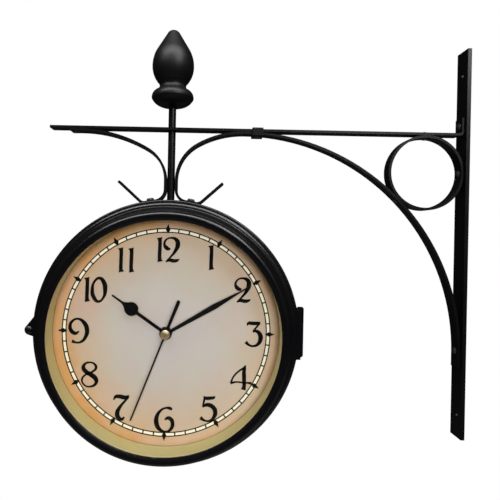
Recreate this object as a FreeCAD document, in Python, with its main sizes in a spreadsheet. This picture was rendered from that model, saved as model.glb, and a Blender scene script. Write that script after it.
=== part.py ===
import FreeCAD, Part
import math
import os
import Sketcher
from FreeCAD import Placement, Rotation, Vector

# Double sided station clock on a wrought strip wall bracket.
# Frame: +Z up, the wall is the plane X = 0, the clock hangs towards -X, and one of
# the two equal faces looks along -Y. The origin is midway between the wall holes.

SIZES = [
    # wall bar and strip work
    ("wall_bar_length", 307.0), ("wall_bar_width", 15.0), ("wall_bar_thick", 3.0),
    ("wall_hole_spacing", 271.0), ("wall_hole_radius", 2.5),
    ("strip_width", 10.0), ("strip_thick", 2.0),
    ("arm_height", 86.5), ("arm_overhang", 16.0), ("arm_bend_radius", 3.0),
    ("arm_tab_height", 12.0), ("tab_rivet_rise", 7.0),
    ("brace_radius", 172.0), ("brace_tail", 10.5), ("brace_rivet_rise", 13.0),
    ("clock_reach", 234.0), ("clock_drop", 157.5),
    ("left_scroll_start", 72.0), ("left_scroll_tail", 8.0), ("scroll_turn", 30.0),
    ("neck_straight", 7.4), ("foot_angle", 9.1), ("foot_flat", 8.0),
    ("toe_bend_radius", 6.0), ("toe_angle", 42.0), ("toe_length", 22.0),
    # rivets, collar and screws of the bracket
    ("rivet_radius", 1.5), ("rivet_head_radius", 2.6), ("rivet_head_height", 1.2),
    ("countersink", 1.0), ("collar_reach", 166.0), ("collar_width", 8.5),
    ("collar_thick", 1.0), ("foot_screw_radius", 1.5), ("foot_head_radius", 3.0),
    ("foot_head_height", 2.0), ("foot_nut_flats", 5.5), ("foot_nut_height", 2.4),
    # rod and finial
    ("rod_radius", 3.0), ("rod_thread_radius", 2.4), ("rod_nut_flats", 8.0),
    ("rod_nut_height", 4.0), ("thread_show", 1.2), ("finial_rise", 18.8),
    ("finial_height", 60.7), ("finial_foot_radius", 8.0), ("finial_base_radius", 16.7),
    ("finial_base_height", 6.0), ("finial_base_round", 6.2), ("finial_ledge_radius", 13.0),
    ("finial_ledge_height", 12.4), ("finial_neck_radius", 10.6),
    ("finial_neck_height", 15.8), ("finial_neck_round", 4.0),
    ("finial_body_radius", 16.6), ("finial_body_height", 31.6), ("finial_bowl_radius", 20.0),
    ("finial_crown_radius", 26.0), ("finial_taper_radius", 12.25),
    ("finial_taper_height", 46.0), ("finial_tip_radius", 4.6), ("finial_tip_height", 58.6),
    ("finial_bore_depth", 20.0),
    # clearances
    ("seat_gap", 0.05), ("rod_gap", 0.3), ("running_gap", 0.08), ("press_gap", 0.02),
    ("collar_gap", 0.15),
    # spun shells
    ("case_radius", 100.0), ("shell_thick", 1.2), ("split_depth", 8.0),
    ("cove_land", 3.1), ("edge_round", 1.2), ("ledge_width", 1.0),
    ("bead_radius", 3.2), ("bead_width", 2.5), ("bead_depth", 4.8), ("cove_step", 0.8),
    ("cove_radius", 14.0), ("cove_depth", 11.0), ("rim_inset", 9.7),
    ("rim_round", 3.0), ("rim_depth", 44.6), ("lip_width", 6.6), ("lip_step", 1.2),
    ("spigot_length", 3.0), ("spigot_lap", 3.0), ("spigot_thick", 1.2), ("spigot_gap", 0.4),
    # glass, dial ring and dial
    ("lens_thick", 2.0), ("lens_gap", 0.4), ("dial_depth", 20.0), ("dial_thick", 0.8),
    ("dial_margin", 1.0), ("sight_inset", 4.7), ("ring_taper", 0.8),
    ("ring_thick", 0.8), ("flange_width", 7.4), ("dial_screw_inset", 2.0),
    ("dial_screw_radius", 1.2), ("dial_head_radius", 2.2), ("dial_head_height", 1.3),
    ("clip_thick", 1.2), ("clip_lap", 3.0), ("clip_length", 7.2),
    ("clip_spread", 7.0),
    # clock movement
    ("gasket_thick", 1.0), ("gasket_radius", 12.0), ("movement_side", 56.0),
    ("movement_corner", 4.0), ("movement_thick", 13.5), ("movement_wall", 1.5),
    ("movement_face", 1.2), ("cover_thick", 1.5), ("works_floor", 10.0),
    ("bush_radius", 3.3), ("bush_height", 5.0), ("fixing_nut_flats", 8.6),
    ("fixing_nut_height", 2.4), ("battery_radius", 7.0), ("battery_length", 50.0),
    ("battery_button", 1.2), ("button_radius", 2.7), ("bay_centre", 19.0),
    ("bay_gap", 0.2), ("contact_thick", 0.5), ("contact_height", 9.0),
    ("contact_depth", 9.5), ("knob_offset", 9.0), ("knob_radius", 6.5),
    ("knob_height", 2.2), ("knob_rise", 0.3), ("stem_radius", 2.0), ("stem_length", 8.0),
    ("knob_flute_radius", 1.1),
    # hands and their pipes
    ("hand_thick", 0.5), ("collet_height", 0.6), ("hand_spacing", 2.0),
    ("hour_pipe_radius", 2.4), ("minute_arbor_radius", 1.6), ("second_pin_radius", 0.6),
    ("pipe_depth", 8.0), ("pipe_proud", 0.2), ("hub_radius", 4.65),
    ("hour_length", 49.2), ("hour_stem_half", 1.2), ("spade_centre", 31.3),
    ("spade_radius", 5.1), ("spade_neck", 41.2), ("spade_needle_half", 0.75),
    ("minute_length", 72.5), ("minute_root_half", 1.15), ("minute_lance_half", 2.05),
    ("minute_lance_at", 41.9), ("minute_needle_at", 62.7), ("minute_needle_half", 0.6),
    ("second_length", 68.3), ("second_root_half", 0.65), ("second_tip_half", 0.6),
    ("tail_length", 27.3), ("tail_half", 1.35), ("tail_root_half", 1.0),
    ("cap_radius", 3.5), ("cap_height", 1.8), ("cap_edge", 0.4),
    ("hour_angle", 304.5), ("minute_angle", 59.5), ("second_angle", 201.0),
    # hinge at three o'clock and latch at nine
    ("hinge_length", 37.0), ("hinge_stand", 3.4), ("knuckle_radius", 2.8),
    ("hinge_pin_radius", 1.5), ("knuckle_gap", 0.2), ("leaf_thick", 1.6),
    ("leaf_gap", 0.3), ("fixed_leaf_width", 13.7), ("door_leaf_width", 12.7),
    ("pin_head_radius", 2.2), ("pin_head_height", 0.8), ("leaf_rivet_spread", 12.0),
    ("lug_reach", 6.5), ("lug_drop", 2.0), ("lug_round", 3.8), ("lug_rise", 16.0),
    ("lug_fall", 9.0), ("lug_thick", 3.2), ("lug_gap", 0.2), ("lug_foot_thick", 1.2),
    ("lug_foot_spread", 9.0), ("lug_foot_length", 9.5), ("latch_screw_radius", 1.6),
    ("latch_head_radius", 3.0), ("latch_head_height", 2.2), ("latch_slot_width", 0.9),
    ("latch_slot_depth", 1.0),
]

RIM_RIVETS = 2            # rivets in each hinge leaf
DIAL_SCREWS = 4           # screws round each dial
KNOB_FLUTES = 12          # finger flutes round a setting knob
HINGE_KNUCKLES = 5        # knuckles along the hinge, shared by both leaves
RING_NORMAL_DEG = 225.0   # from the ring's centre towards the brace

DOC = FreeCAD.newDocument("StationClock")


class Length:
    """A size together with the formula that ties it to the size sheet."""

    def __init__(self, value, formula):
        self.value = float(value)
        self.formula = formula

    @staticmethod
    def of(size):
        return size if isinstance(size, Length) else Length(size, repr(float(size)))

    def joined(self, sign, size, value):
        return Length(value, f"({self.formula} {sign} {size.formula})")

    def __add__(self, size):
        size = Length.of(size)
        return self.joined("+", size, self.value + size.value)

    def __sub__(self, size):
        size = Length.of(size)
        return self.joined("-", size, self.value - size.value)

    def __mul__(self, size):
        size = Length.of(size)
        return self.joined("*", size, self.value * size.value)

    def __truediv__(self, size):
        size = Length.of(size)
        return self.joined("/", size, self.value / size.value)

    def __neg__(self):
        return Length(-self.value, f"(-1 * {self.formula})")


class SizeSheet:
    """The spreadsheet of driving sizes, read as tied lengths."""

    def __init__(self, rows):
        self.sheet = DOC.addObject("Spreadsheet::Sheet", "Size")
        for row, (alias, value) in enumerate(rows, start=1):
            self.sheet.set(f"A{row}", alias)
            self.sheet.set(f"B{row}", str(value))
            self.sheet.setAlias(f"B{row}", alias)
        DOC.recompute()
        for alias, _ in rows:
            setattr(self, alias, Length(self.sheet.get(alias), f"Size.{alias}"))


S = SizeSheet(SIZES)

# ---------------------------------------------------------------- derived places
CASE_X = -S.clock_reach
CASE_Z = S.arm_height - S.clock_drop
ARM_TOP = S.arm_height + S.strip_thick / 2
ARM_UNDER = S.arm_height - S.strip_thick / 2
STRIP_Z = ARM_UNDER - S.strip_thick / 2
BRACE_X = -(S.wall_bar_thick + S.strip_thick / 2 + S.brace_radius)
BRACE_Z = STRIP_Z - S.brace_radius
INNER_RADIUS = S.case_radius - S.shell_thick
NECK_X = S.rod_radius + S.rod_gap + S.strip_thick / 2
ARM_REACH = S.clock_reach + S.left_scroll_start + S.left_scroll_tail + S.arm_overhang
RIM_RADIUS = S.case_radius - S.rim_inset
LIP_RADIUS = RIM_RADIUS - S.lip_width
SIGHT_RADIUS = RIM_RADIUS - S.sight_inset
RING_FRONT_RADIUS = SIGHT_RADIUS - S.ring_taper
FLANGE_RADIUS = SIGHT_RADIUS + S.flange_width
DIAL_RADIUS = FLANGE_RADIUS - S.dial_margin
SCREW_CIRCLE = DIAL_RADIUS - S.dial_screw_inset
CLIP_INNER = SCREW_CIRCLE - S.clip_lap
LIP_DEPTH = S.rim_depth - S.lip_step
LENS_SEAT = LIP_DEPTH - S.shell_thick
COVE_END = S.rim_depth - S.rim_round - S.cove_land
BEAD_END = COVE_END - S.cove_depth
BAND_DEPTH = BEAD_END - S.bead_depth - S.edge_round
LEDGE_RADIUS = S.case_radius - S.edge_round - S.ledge_width
BEAD_RADIUS = LEDGE_RADIUS - S.bead_width
LENS_BACK = LENS_SEAT - S.lens_thick
DIAL_BACK = S.dial_depth - S.dial_thick
MOVEMENT_FRONT = DIAL_BACK - S.gasket_thick
COVER_FRONT = MOVEMENT_FRONT - S.movement_thick
COVER_BACK = COVER_FRONT - S.cover_thick
WORKS_FRONT = MOVEMENT_FRONT - S.movement_face
HOUR_DEPTH = S.dial_depth + S.bush_height - 0.8
MINUTE_DEPTH = HOUR_DEPTH + S.hand_spacing
SECOND_DEPTH = MINUTE_DEPTH + S.hand_spacing

# The ring fills the corner: it touches the arm, the wall bar and the brace.
CORNER_FACTOR = (math.sqrt(2) - 1) / (math.sqrt(2) + 1)
RING_RADIUS = (S.brace_radius.value + S.strip_thick.value / 2) * CORNER_FACTOR - S.seat_gap.value
RING_X = -S.wall_bar_thick.value - RING_RADIUS - S.seat_gap.value
RING_Z = ARM_UNDER.value - RING_RADIUS - S.seat_gap.value

PARTS = []


def keep(obj, label):
    """Names a finished piece and lists it for export."""
    obj.Label = label
    PARTS.append(obj)
    return obj


# ---------------------------------------------------------------- sketch helpers
def tie(obj, path, size):
    """Sets a property and ties it to the size sheet."""
    obj.setExpression(path, Length.of(size).formula)


def new_body(name):
    return DOC.addObject("PartDesign::Body", name)


def sketch_on(body, name, role, lift=None):
    """A sketch on one of the body's own origin planes, lifted along its normal."""
    sketch = body.newObject("Sketcher::SketchObject", name)
    plane = [item for item in body.Origin.OriginFeatures if item.Role == role][0]
    sketch.AttachmentSupport = [(plane, "")]
    sketch.MapMode = "FlatFace"
    if lift is not None:
        sketch.AttachmentOffset = Placement(Vector(0, 0, lift.value), Rotation())
        tie(sketch, "AttachmentOffset.Base.z", lift)
    return sketch


def pin_point(sketch, edge, end, across, up):
    """Fixes one end of an edge at a tied place."""
    for kind, size, axis in (("DistanceX", across, -2), ("DistanceY", up, -1)):
        size = Length.of(size)
        if size.value == 0:
            sketch.addConstraint(Sketcher.Constraint("PointOnObject", edge, end, axis))
            continue
        row = sketch.addConstraint(Sketcher.Constraint(kind, edge, end, size.value))
        tie(sketch, f"Constraints[{row}]", size)


def draw_arc(sketch, start, finish, radius, turn):
    """An arc of under half a turn; turn is 1 when it runs counter-clockwise."""
    chord = finish - start
    reach = math.sqrt(max(radius ** 2 - chord.Length ** 2 / 4, 0.0))
    normal = Vector(-chord.y, chord.x, 0).normalize() * turn
    centre = (start + finish) * 0.5 + normal * reach
    angles = [math.atan2(point.y - centre.y, point.x - centre.x) for point in (start, finish)]
    if turn < 0:
        angles.reverse()
    circle = Part.Circle(centre, Vector(0, 0, 1), radius)
    return sketch.addGeometry(Part.ArcOfCircle(circle, angles[0], angles[1]), False)


def draw_loop(sketch, corners):
    """A closed outline. A corner is (across, up) or (across, up, radius, turn), where
    the last two bend the edge that leaves it."""
    points = [Vector(Length.of(c[0]).value, Length.of(c[1]).value, 0) for c in corners]
    ends = []
    for index, corner in enumerate(corners):
        start = points[index]
        finish = points[(index + 1) % len(points)]
        if len(corner) == 2:
            edge = sketch.addGeometry(Part.LineSegment(start, finish), False)
            ends.append((edge, 1, 2))
            continue
        radius = Length.of(corner[2])
        edge = draw_arc(sketch, start, finish, radius.value, corner[3])
        ends.append((edge, 1, 2) if corner[3] > 0 else (edge, 2, 1))
        row = sketch.addConstraint(Sketcher.Constraint("Radius", edge, radius.value))
        tie(sketch, f"Constraints[{row}]", radius)
    for index, corner in enumerate(corners):
        edge, first, last = ends[index]
        after, after_first, _ = ends[(index + 1) % len(ends)]
        sketch.addConstraint(Sketcher.Constraint("Coincident", edge, last, after, after_first))
        pin_point(sketch, edge, first, corner[0], corner[1])


def draw_circle(sketch, across, up, radius):
    across, up, radius = Length.of(across), Length.of(up), Length.of(radius)
    circle = Part.Circle(Vector(across.value, up.value, 0), Vector(0, 0, 1), radius.value)
    edge = sketch.addGeometry(circle, False)
    row = sketch.addConstraint(Sketcher.Constraint("Radius", edge, radius.value))
    tie(sketch, f"Constraints[{row}]", radius)
    pin_point(sketch, edge, 3, across, up)


def ball(rim, rise):
    """The radius of a dome from the radius of its rim and its height."""
    return (rim * rim + rise * rise) / (rise * 2)


def box_corners(left, low, right, high):
    return [(left, low), (right, low), (right, high), (left, high)]


def feature(body, kind, sketch, size, reverse=False, symmetric=False):
    """A pad or pocket of the sketch, tied to a size; size None cuts right through."""
    step = body.newObject(f"PartDesign::{kind}", kind)
    step.Profile = sketch
    step.Reversed = reverse
    if symmetric:
        step.SideType = "Symmetric"
    if size is None:
        step.Type = "ThroughAll"
    else:
        step.Length = Length.of(size).value
        tie(step, "Length", size)
    sketch.Visibility = False
    return step


def revolve(body, sketch):
    step = body.newObject("PartDesign::Revolution", "Revolution")
    step.Profile = sketch
    step.ReferenceAxis = (sketch, ["V_Axis"])
    step.Angle = 360
    return step


def turned(name, corners):
    """A body turned about its own Z from a (radius, height) outline."""
    body = new_body(name)
    sketch = sketch_on(body, f"{name}_outline", "XZ_Plane")
    draw_loop(sketch, corners)
    revolve(body, sketch)
    return body


def shape_object(name, shape):
    obj = DOC.addObject("Part::Feature", name)
    obj.Shape = shape
    return obj


# ---------------------------------------------------------------- placing helpers
def place(obj, across, away, up, rotation=None):
    """Puts a piece at a tied place."""
    places = [Length.of(size) for size in (across, away, up)]
    base = Vector(*[size.value for size in places])
    obj.Placement = Placement(base, rotation or Rotation())
    for axis, size in zip("xyz", places):
        tie(obj, f"Placement.Base.{axis}", size)
    return obj


def face_turn(side, clockwise=0.0):
    """The turn from a dial's own frame (x right, y up, z to its viewer)."""
    stand = Rotation(Vector(1, 0, 0), 90)
    spin = Rotation(Vector(0, 0, 1), -clockwise)
    about = Rotation(Vector(0, 0, 1), 0 if side == "front" else 180)
    return about * stand * spin


def on_face(obj, side, clockwise=0.0):
    """Puts a piece built in a dial's frame on the front or rear of the case."""
    return place(obj, CASE_X, 0, CASE_Z, face_turn(side, clockwise))


def in_case(shape):
    """Moves a raw shape from case-centred coordinates to the row frame."""
    return shape.translated(Vector(CASE_X.value, 0, CASE_Z.value))


def raw_face(shape, side):
    """Turns and moves a raw shape from a dial's frame to the row frame."""
    moved = shape.copy()
    spot = Placement(Vector(CASE_X.value, 0, CASE_Z.value), face_turn(side))
    moved.Placement = spot.multiply(shape.Placement)
    return moved


def drilled(name, base, drills):
    """The base piece with a group of drills cut out of it."""
    tool = shape_object(f"{name}_drills", Part.makeCompound(drills))
    cut = DOC.addObject("Part::Cut", f"{name}_drilled")
    cut.Base = base
    cut.Tool = tool
    return cut


def rod_between(start, finish, radius):
    return Part.makeCylinder(radius, (finish - start).Length, start, finish - start)


# ---------------------------------------------------------------- strip work
class StripPath:
    """A flat strip bent on edge: its centreline walks in X and Z, and both faces are
    exact offsets of it."""

    def __init__(self, x, z, heading):
        self.spot = Vector(x, 0, z)
        self.heading = math.radians(heading)
        self.left = []
        self.right = []

    def side_point(self, offset):
        normal = Vector(-math.sin(self.heading), 0, math.cos(self.heading))
        return self.spot + normal * offset

    def straight(self, length):
        half = S.strip_thick.value / 2
        starts = [self.side_point(half), self.side_point(-half)]
        self.spot = self.spot + Vector(math.cos(self.heading), 0, math.sin(self.heading)) * length
        self.left.append(Part.LineSegment(starts[0], self.side_point(half)).toShape())
        self.right.append(Part.LineSegment(starts[1], self.side_point(-half)).toShape())
        return self

    def bend(self, radius, degrees):
        """Positive degrees turn left; radius is the centreline's."""
        turn = math.copysign(1.0, degrees)
        centre = self.side_point(radius * turn)
        sides = (S.strip_thick.value / 2, -S.strip_thick.value / 2)
        tracks = [[self.side_point(offset)] for offset in sides]
        for part in (0.5, 1.0):
            angle = self.heading + math.radians(degrees) * part
            out = Vector(math.sin(angle), 0, -math.cos(angle)) * turn
            for track, offset in zip(tracks, sides):
                track.append(centre + out * (radius - offset * turn))
        self.heading += math.radians(degrees)
        self.spot = (tracks[0][2] + tracks[1][2]) * 0.5
        self.left.append(Part.Arc(*tracks[0]).toShape())
        self.right.append(Part.Arc(*tracks[1]).toShape())
        return self

    def solid(self):
        half = S.strip_thick.value / 2
        first = self.left[0].Vertexes[0].Point
        tip = Part.LineSegment(self.side_point(half), self.side_point(-half)).toShape()
        root = Part.LineSegment(self.right[0].Vertexes[0].Point, first).toShape()
        wire = Part.Wire(self.left + [tip] + self.right[::-1] + [root])
        width = S.strip_width.value
        return Part.Face(wire).extrude(Vector(0, width, 0)).translated(Vector(0, -width / 2, 0))


def scroll_bends(start):
    """The radii of a scroll's wide bend, its tight bend, which ends upright at the neck, and
    its heel. start is how far from the rod it leaves the arm."""
    foot = math.radians(S.foot_angle.value)
    lean = math.radians(S.scroll_turn.value)
    seat = S.case_radius.value + S.seat_gap.value + S.strip_thick.value / 2
    half = S.foot_flat.value / 2
    flat_x = seat * math.sin(foot) - half * math.cos(foot)
    flat_z = CASE_Z.value + seat * math.cos(foot) + half * math.sin(foot)
    heel = (flat_x - NECK_X.value) / (1 - math.sin(foot))
    neck_z = flat_z + heel * math.cos(foot) + S.neck_straight.value
    across = start - NECK_X.value
    down = STRIP_Z.value - neck_z
    # two arcs that leave the arm level and reach the neck upright
    a, b = math.sin(lean), 1 - math.sin(lean)
    c, d = 1 - math.cos(lean), math.cos(lean)
    wide = (across * d - down * b) / (a * d - b * c)
    tight = (down * a - across * c) / (a * d - b * c)
    return wide, tight, heel


def scroll_foot(path, start, turn):
    """The scroll from under the arm to its foot on the case and the raised toe. start is
    how far from the rod it leaves the arm; turn is 1 when it curls to the left."""
    wide, tight, heel = scroll_bends(start)
    path.bend(wide, turn * S.scroll_turn.value)
    path.bend(tight, turn * (90 - S.scroll_turn.value))
    path.straight(S.neck_straight.value)
    path.bend(heel, turn * (90 - S.foot_angle.value))
    path.straight(S.foot_flat.value)
    path.bend(S.toe_bend_radius.value, turn * (S.foot_angle.value + S.toe_angle.value))
    path.straight(S.toe_length.value)
    return path.solid()


class RivetSeat:
    """One rivet: back is where its back face lies, along points to its front head."""

    def __init__(self, back, along, grip, gap=0.0, flush=False):
        self.back = back
        self.along = along
        self.grip = grip
        self.gap = gap
        self.flush = flush

    def solid(self):
        radius = S.rivet_radius.value
        head = S.rivet_head_radius.value
        top = self.grip + self.gap
        edges = []
        if self.flush:
            sink = S.countersink.value
            low = Vector(0, 0, 0)
            corners = [low, Vector(radius + sink, 0, 0), Vector(radius, 0, sink)]
            start = corners[-1]
            edges += [Part.LineSegment(corners[0], corners[1]).toShape(),
                      Part.LineSegment(corners[1], corners[2]).toShape()]
        else:
            low = Vector(0, 0, -self.gap - S.rivet_head_height.value)
            rim = Vector(head, 0, -self.gap)
            start = Vector(radius, 0, -self.gap)
            edges += [self.dome(low, rim, -1), Part.LineSegment(rim, start).toShape()]
        stop = Vector(radius, 0, top)
        rim = Vector(head, 0, top)
        high = Vector(0, 0, top + S.rivet_head_height.value)
        edges += [Part.LineSegment(start, stop).toShape(), Part.LineSegment(stop, rim).toShape(),
                  self.dome(rim, high, 1), Part.LineSegment(high, low).toShape()]
        shape = Part.Face(Part.Wire(edges)).revolve(Vector(), Vector(0, 0, 1), 360)
        shape.Placement = Placement(self.back, Rotation(Vector(0, 0, 1), self.along))
        return shape

    @staticmethod
    def dome(start, finish, up):
        """The arc of a domed head between its rim and its crown."""
        rim = start if start.x > 0 else finish
        crown = finish if start.x > 0 else start
        ball = (rim.x ** 2 + (crown.z - rim.z) ** 2) / (2 * abs(crown.z - rim.z))
        half = math.asin(min(rim.x / ball, 1.0)) / 2
        centre = crown.z - up * ball
        middle = Vector(ball * math.sin(half), 0, centre + up * ball * math.cos(half))
        return Part.Arc(start, middle, finish).toShape()

    def drill(self):
        """The hole that the rivet goes through, with its countersink."""
        radius = S.rivet_radius.value + S.seat_gap.value
        reach = self.grip + 2 * self.gap + 2
        shape = Part.makeCylinder(radius, reach + 2, Vector(0, 0, -self.gap - 2))
        if self.flush:
            sink = S.countersink.value
            shape = shape.fuse(Part.makeCone(radius + sink, radius, sink))
        shape.Placement = Placement(self.back, Rotation(Vector(0, 0, 1), self.along))
        return shape


def sagitta(radius, half_width):
    """How far a curved face falls away over half the width of a flat one."""
    return radius - math.sqrt(radius ** 2 - half_width ** 2)


def bracket_rivet_seats():
    """Where each rivet of the bracket sits, by the pieces that it joins."""
    thick = S.strip_thick.value
    bar = S.wall_bar_thick.value
    gap = S.seat_gap.value
    out = Vector(-1, 0, 0)
    up = Vector(0, 0, 1)
    hollow = sagitta(RING_RADIUS - thick, S.rivet_head_radius.value) + gap
    tail_z = BRACE_Z.value - S.brace_tail.value + S.brace_rivet_rise.value
    above_tail = max(S.brace_rivet_rise.value + S.rivet_head_radius.value
                     - S.brace_tail.value, 0.0)
    lift = sagitta(S.brace_radius.value + thick / 2, above_tail) + gap
    middle = Vector(RING_X, 0, RING_Z)
    slant = Vector(math.cos(math.radians(RING_NORMAL_DEG)), 0, math.sin(math.radians(RING_NORMAL_DEG)))
    left_x = CASE_X.value - S.left_scroll_start.value - S.left_scroll_tail.value / 2
    collar_low = collar_floor()
    return {
        "arm_tab": RivetSeat(Vector(0, 0, S.arm_height.value + S.tab_rivet_rise.value), out,
                             bar + thick, 0.0, True),
        "ring_wall": RivetSeat(Vector(0, 0, RING_Z), out, bar + thick + gap, hollow, True),
        "brace_wall": RivetSeat(Vector(0, 0, tail_z), out, bar + thick, lift, True),
        "ring_arm": RivetSeat(Vector(RING_X, 0, RING_Z + RING_RADIUS - thick), up,
                              2 * thick + gap, hollow),
        "ring_brace": RivetSeat(middle + slant * (RING_RADIUS - thick), slant,
                                2 * thick + gap, hollow),
        "left_scroll": RivetSeat(Vector(left_x, 0, STRIP_Z.value - thick / 2), up, 2 * thick, 0.0),
        "collar": RivetSeat(Vector(-S.collar_reach.value, 0, collar_low), up,
                            collar_ceiling() - collar_low, 0.0),
    }


def collar_floor():
    """The collar's underside, clear of the brace, which dips away from the arm on both sides
    of its top."""
    half = S.strip_thick.value / 2
    past_top = S.collar_reach.value + BRACE_X.value
    reach = S.collar_width.value / 2
    wide = scroll_bends(BRACE_X.value - CASE_X.value)[0]
    sides = ((S.brace_radius.value + half, reach - past_top), (wide - half, reach + past_top))
    dip = max(sagitta(radius, far) for radius, far in sides if far > 0)
    return STRIP_Z.value - half - dip - S.collar_gap.value - S.collar_thick.value


def collar_ceiling():
    return ARM_TOP.value + S.collar_gap.value + S.collar_thick.value


RIVETS = bracket_rivet_seats()


# ---------------------------------------------------------------- bracket pieces
def make_wall_bar():
    """The flat bar against the wall, with its two screw holes."""
    body = new_body("wall_bar_body")
    sketch = sketch_on(body, "wall_bar_outline", "YZ_Plane")
    half_width = S.wall_bar_width / 2
    half_length = S.wall_bar_length / 2
    draw_loop(sketch, box_corners(-half_width, -half_length, half_width, half_length))
    for sign in (1, -1):
        draw_circle(sketch, 0, S.wall_hole_spacing / (2 * sign), S.wall_hole_radius)
    feature(body, "Pad", sketch, S.wall_bar_thick, reverse=True)
    drills = [RIVETS[name].drill() for name in ("arm_tab", "ring_wall", "brace_wall")]
    keep(drilled("wall_bar", body, drills), "wall_bar")


def make_top_arm():
    """The level arm: a strip whose end is turned up against the wall bar."""
    bend = S.arm_bend_radius.value
    centre_x = -S.wall_bar_thick.value - S.strip_thick.value / 2
    path = StripPath(-ARM_REACH.value, S.arm_height.value, 0)
    path.straight(ARM_REACH.value + centre_x - bend)
    path.bend(bend, 90)
    path.straight(S.arm_tab_height.value + S.strip_thick.value / 2 - bend)
    shape = path.solid()
    hole = S.rod_radius.value + S.rod_gap.value
    top = Vector(CASE_X.value, 0, S.arm_height.value + S.strip_thick.value)
    drills = [rod_between(top, top - Vector(0, 0, 2 * S.strip_thick.value), hole)]
    drills += [RIVETS[name].drill() for name in ("arm_tab", "ring_arm", "left_scroll", "collar")]
    keep(shape_object("top_arm", shape.cut(drills)), "top_arm")


def make_brace():
    """The quarter-circle brace, which runs on under the arm into the inner scroll."""
    centre_x = -S.wall_bar_thick.value - S.strip_thick.value / 2
    path = StripPath(centre_x, BRACE_Z.value - S.brace_tail.value, 90)
    path.straight(S.brace_tail.value)
    path.bend(S.brace_radius.value, 90)
    shape = scroll_foot(path, BRACE_X.value - CASE_X.value, 1)
    drills = [RIVETS[name].drill() for name in ("brace_wall", "ring_brace", "collar")]
    drills.append(foot_drill(1))
    keep(shape_object("brace", shape.cut(drills)), "brace")


def make_outer_scroll():
    """The short scroll on the far side of the rod, riveted under the arm."""
    start = S.left_scroll_start.value
    path = StripPath(CASE_X.value - start - S.left_scroll_tail.value, STRIP_Z.value, 0)
    path.straight(S.left_scroll_tail.value)
    shape = scroll_foot(path, start, -1)
    keep(shape_object("outer_scroll", shape.cut([RIVETS["left_scroll"].drill(), foot_drill(-1)])),
         "outer_scroll")


def make_corner_ring():
    """The strip ring in the corner, riveted where it touches its three neighbours."""
    width = S.strip_width.value
    low = Vector(RING_X, -width / 2, RING_Z)
    along = Vector(0, 1, 0)
    outer = Part.makeCylinder(RING_RADIUS, width, low, along)
    inner = Part.makeCylinder(RING_RADIUS - S.strip_thick.value, width, low, along)
    drills = [RIVETS[name].drill() for name in ("ring_wall", "ring_arm", "ring_brace")]
    keep(shape_object("corner_ring", outer.cut([inner] + drills)), "corner_ring")


def make_bracket_rivets():
    group = Part.makeCompound([seat.solid() for seat in RIVETS.values()])
    keep(shape_object("bracket_rivets", group), "bracket_rivets")


def make_arm_collar():
    """The band squeezed round the arm and the brace, with its rivet through all."""
    low = collar_floor()
    high = collar_ceiling()
    wall = S.collar_thick.value
    width = S.strip_width.value + 2 * (S.collar_gap.value + wall)
    corner = Vector(-S.collar_reach.value - S.collar_width.value / 2, -width / 2, low)
    outer = Part.makeBox(S.collar_width.value, width, high - low, corner)
    inside = Part.makeBox(S.collar_width.value, width - 2 * wall, high - low - 2 * wall,
                          corner + Vector(0, wall, wall))
    rounded = outer.makeFillet(wall * 0.8, [edge for edge in outer.Edges if along_x(edge)])
    keep(shape_object("arm_collar", rounded.cut([inside, RIVETS["collar"].drill()])), "arm_collar")


def along_x(edge):
    box = edge.BoundBox
    return box.YLength < 1e-6 and box.ZLength < 1e-6


# ---------------------------------------------------------------- rod, finial, feet
def make_hanger_rod():
    """The upright rod: it stands on the case, passes the arm and carries the finial."""
    shoulder = CASE_Z + S.case_radius + S.seat_gap
    nut_low = CASE_Z + INNER_RADIUS - S.rod_nut_height - S.thread_show
    finial_low = S.arm_height + S.finial_rise
    top = finial_low + S.finial_bore_depth - S.seat_gap
    body = turned("hanger_rod", [
        (0, nut_low), (S.rod_thread_radius, nut_low), (S.rod_thread_radius, shoulder),
        (S.rod_radius, shoulder), (S.rod_radius, finial_low - S.seat_gap),
        (S.rod_thread_radius, finial_low - S.seat_gap), (S.rod_thread_radius, top), (0, top)])
    keep(place(body, CASE_X, 0, 0), "hanger_rod")


def hex_nut(name, flats, height, bore):
    """A hexagon nut on its own Z axis, from z = 0 up."""
    prism = DOC.addObject("Part::Prism", f"{name}_hexagon")
    prism.Polygon = 6
    corners = flats / math.sqrt(3)
    prism.Circumradius = corners.value
    tie(prism, "Circumradius", corners)
    prism.Height = height.value
    tie(prism, "Height", height)
    hole = DOC.addObject("Part::Cylinder", f"{name}_thread")
    hole.Radius = bore.value
    tie(hole, "Radius", bore)
    hole.Height = height.value
    tie(hole, "Height", height)
    nut = DOC.addObject("Part::Cut", f"{name}_nut")
    nut.Base = prism
    nut.Tool = hole
    return nut


def nut_seat(flats):
    """How far inside the drum a flat nut lies, so that its corners clear the curve."""
    return sagitta(INNER_RADIUS.value, flats.value / math.sqrt(3)) + S.seat_gap.value


def make_rod_nut():
    nut = hex_nut("rod", S.rod_nut_flats, S.rod_nut_height, S.rod_thread_radius + S.seat_gap)
    low = CASE_Z + INNER_RADIUS - S.rod_nut_height - nut_seat(S.rod_nut_flats)
    keep(place(nut, CASE_X, 0, low), "rod_nut")


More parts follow.
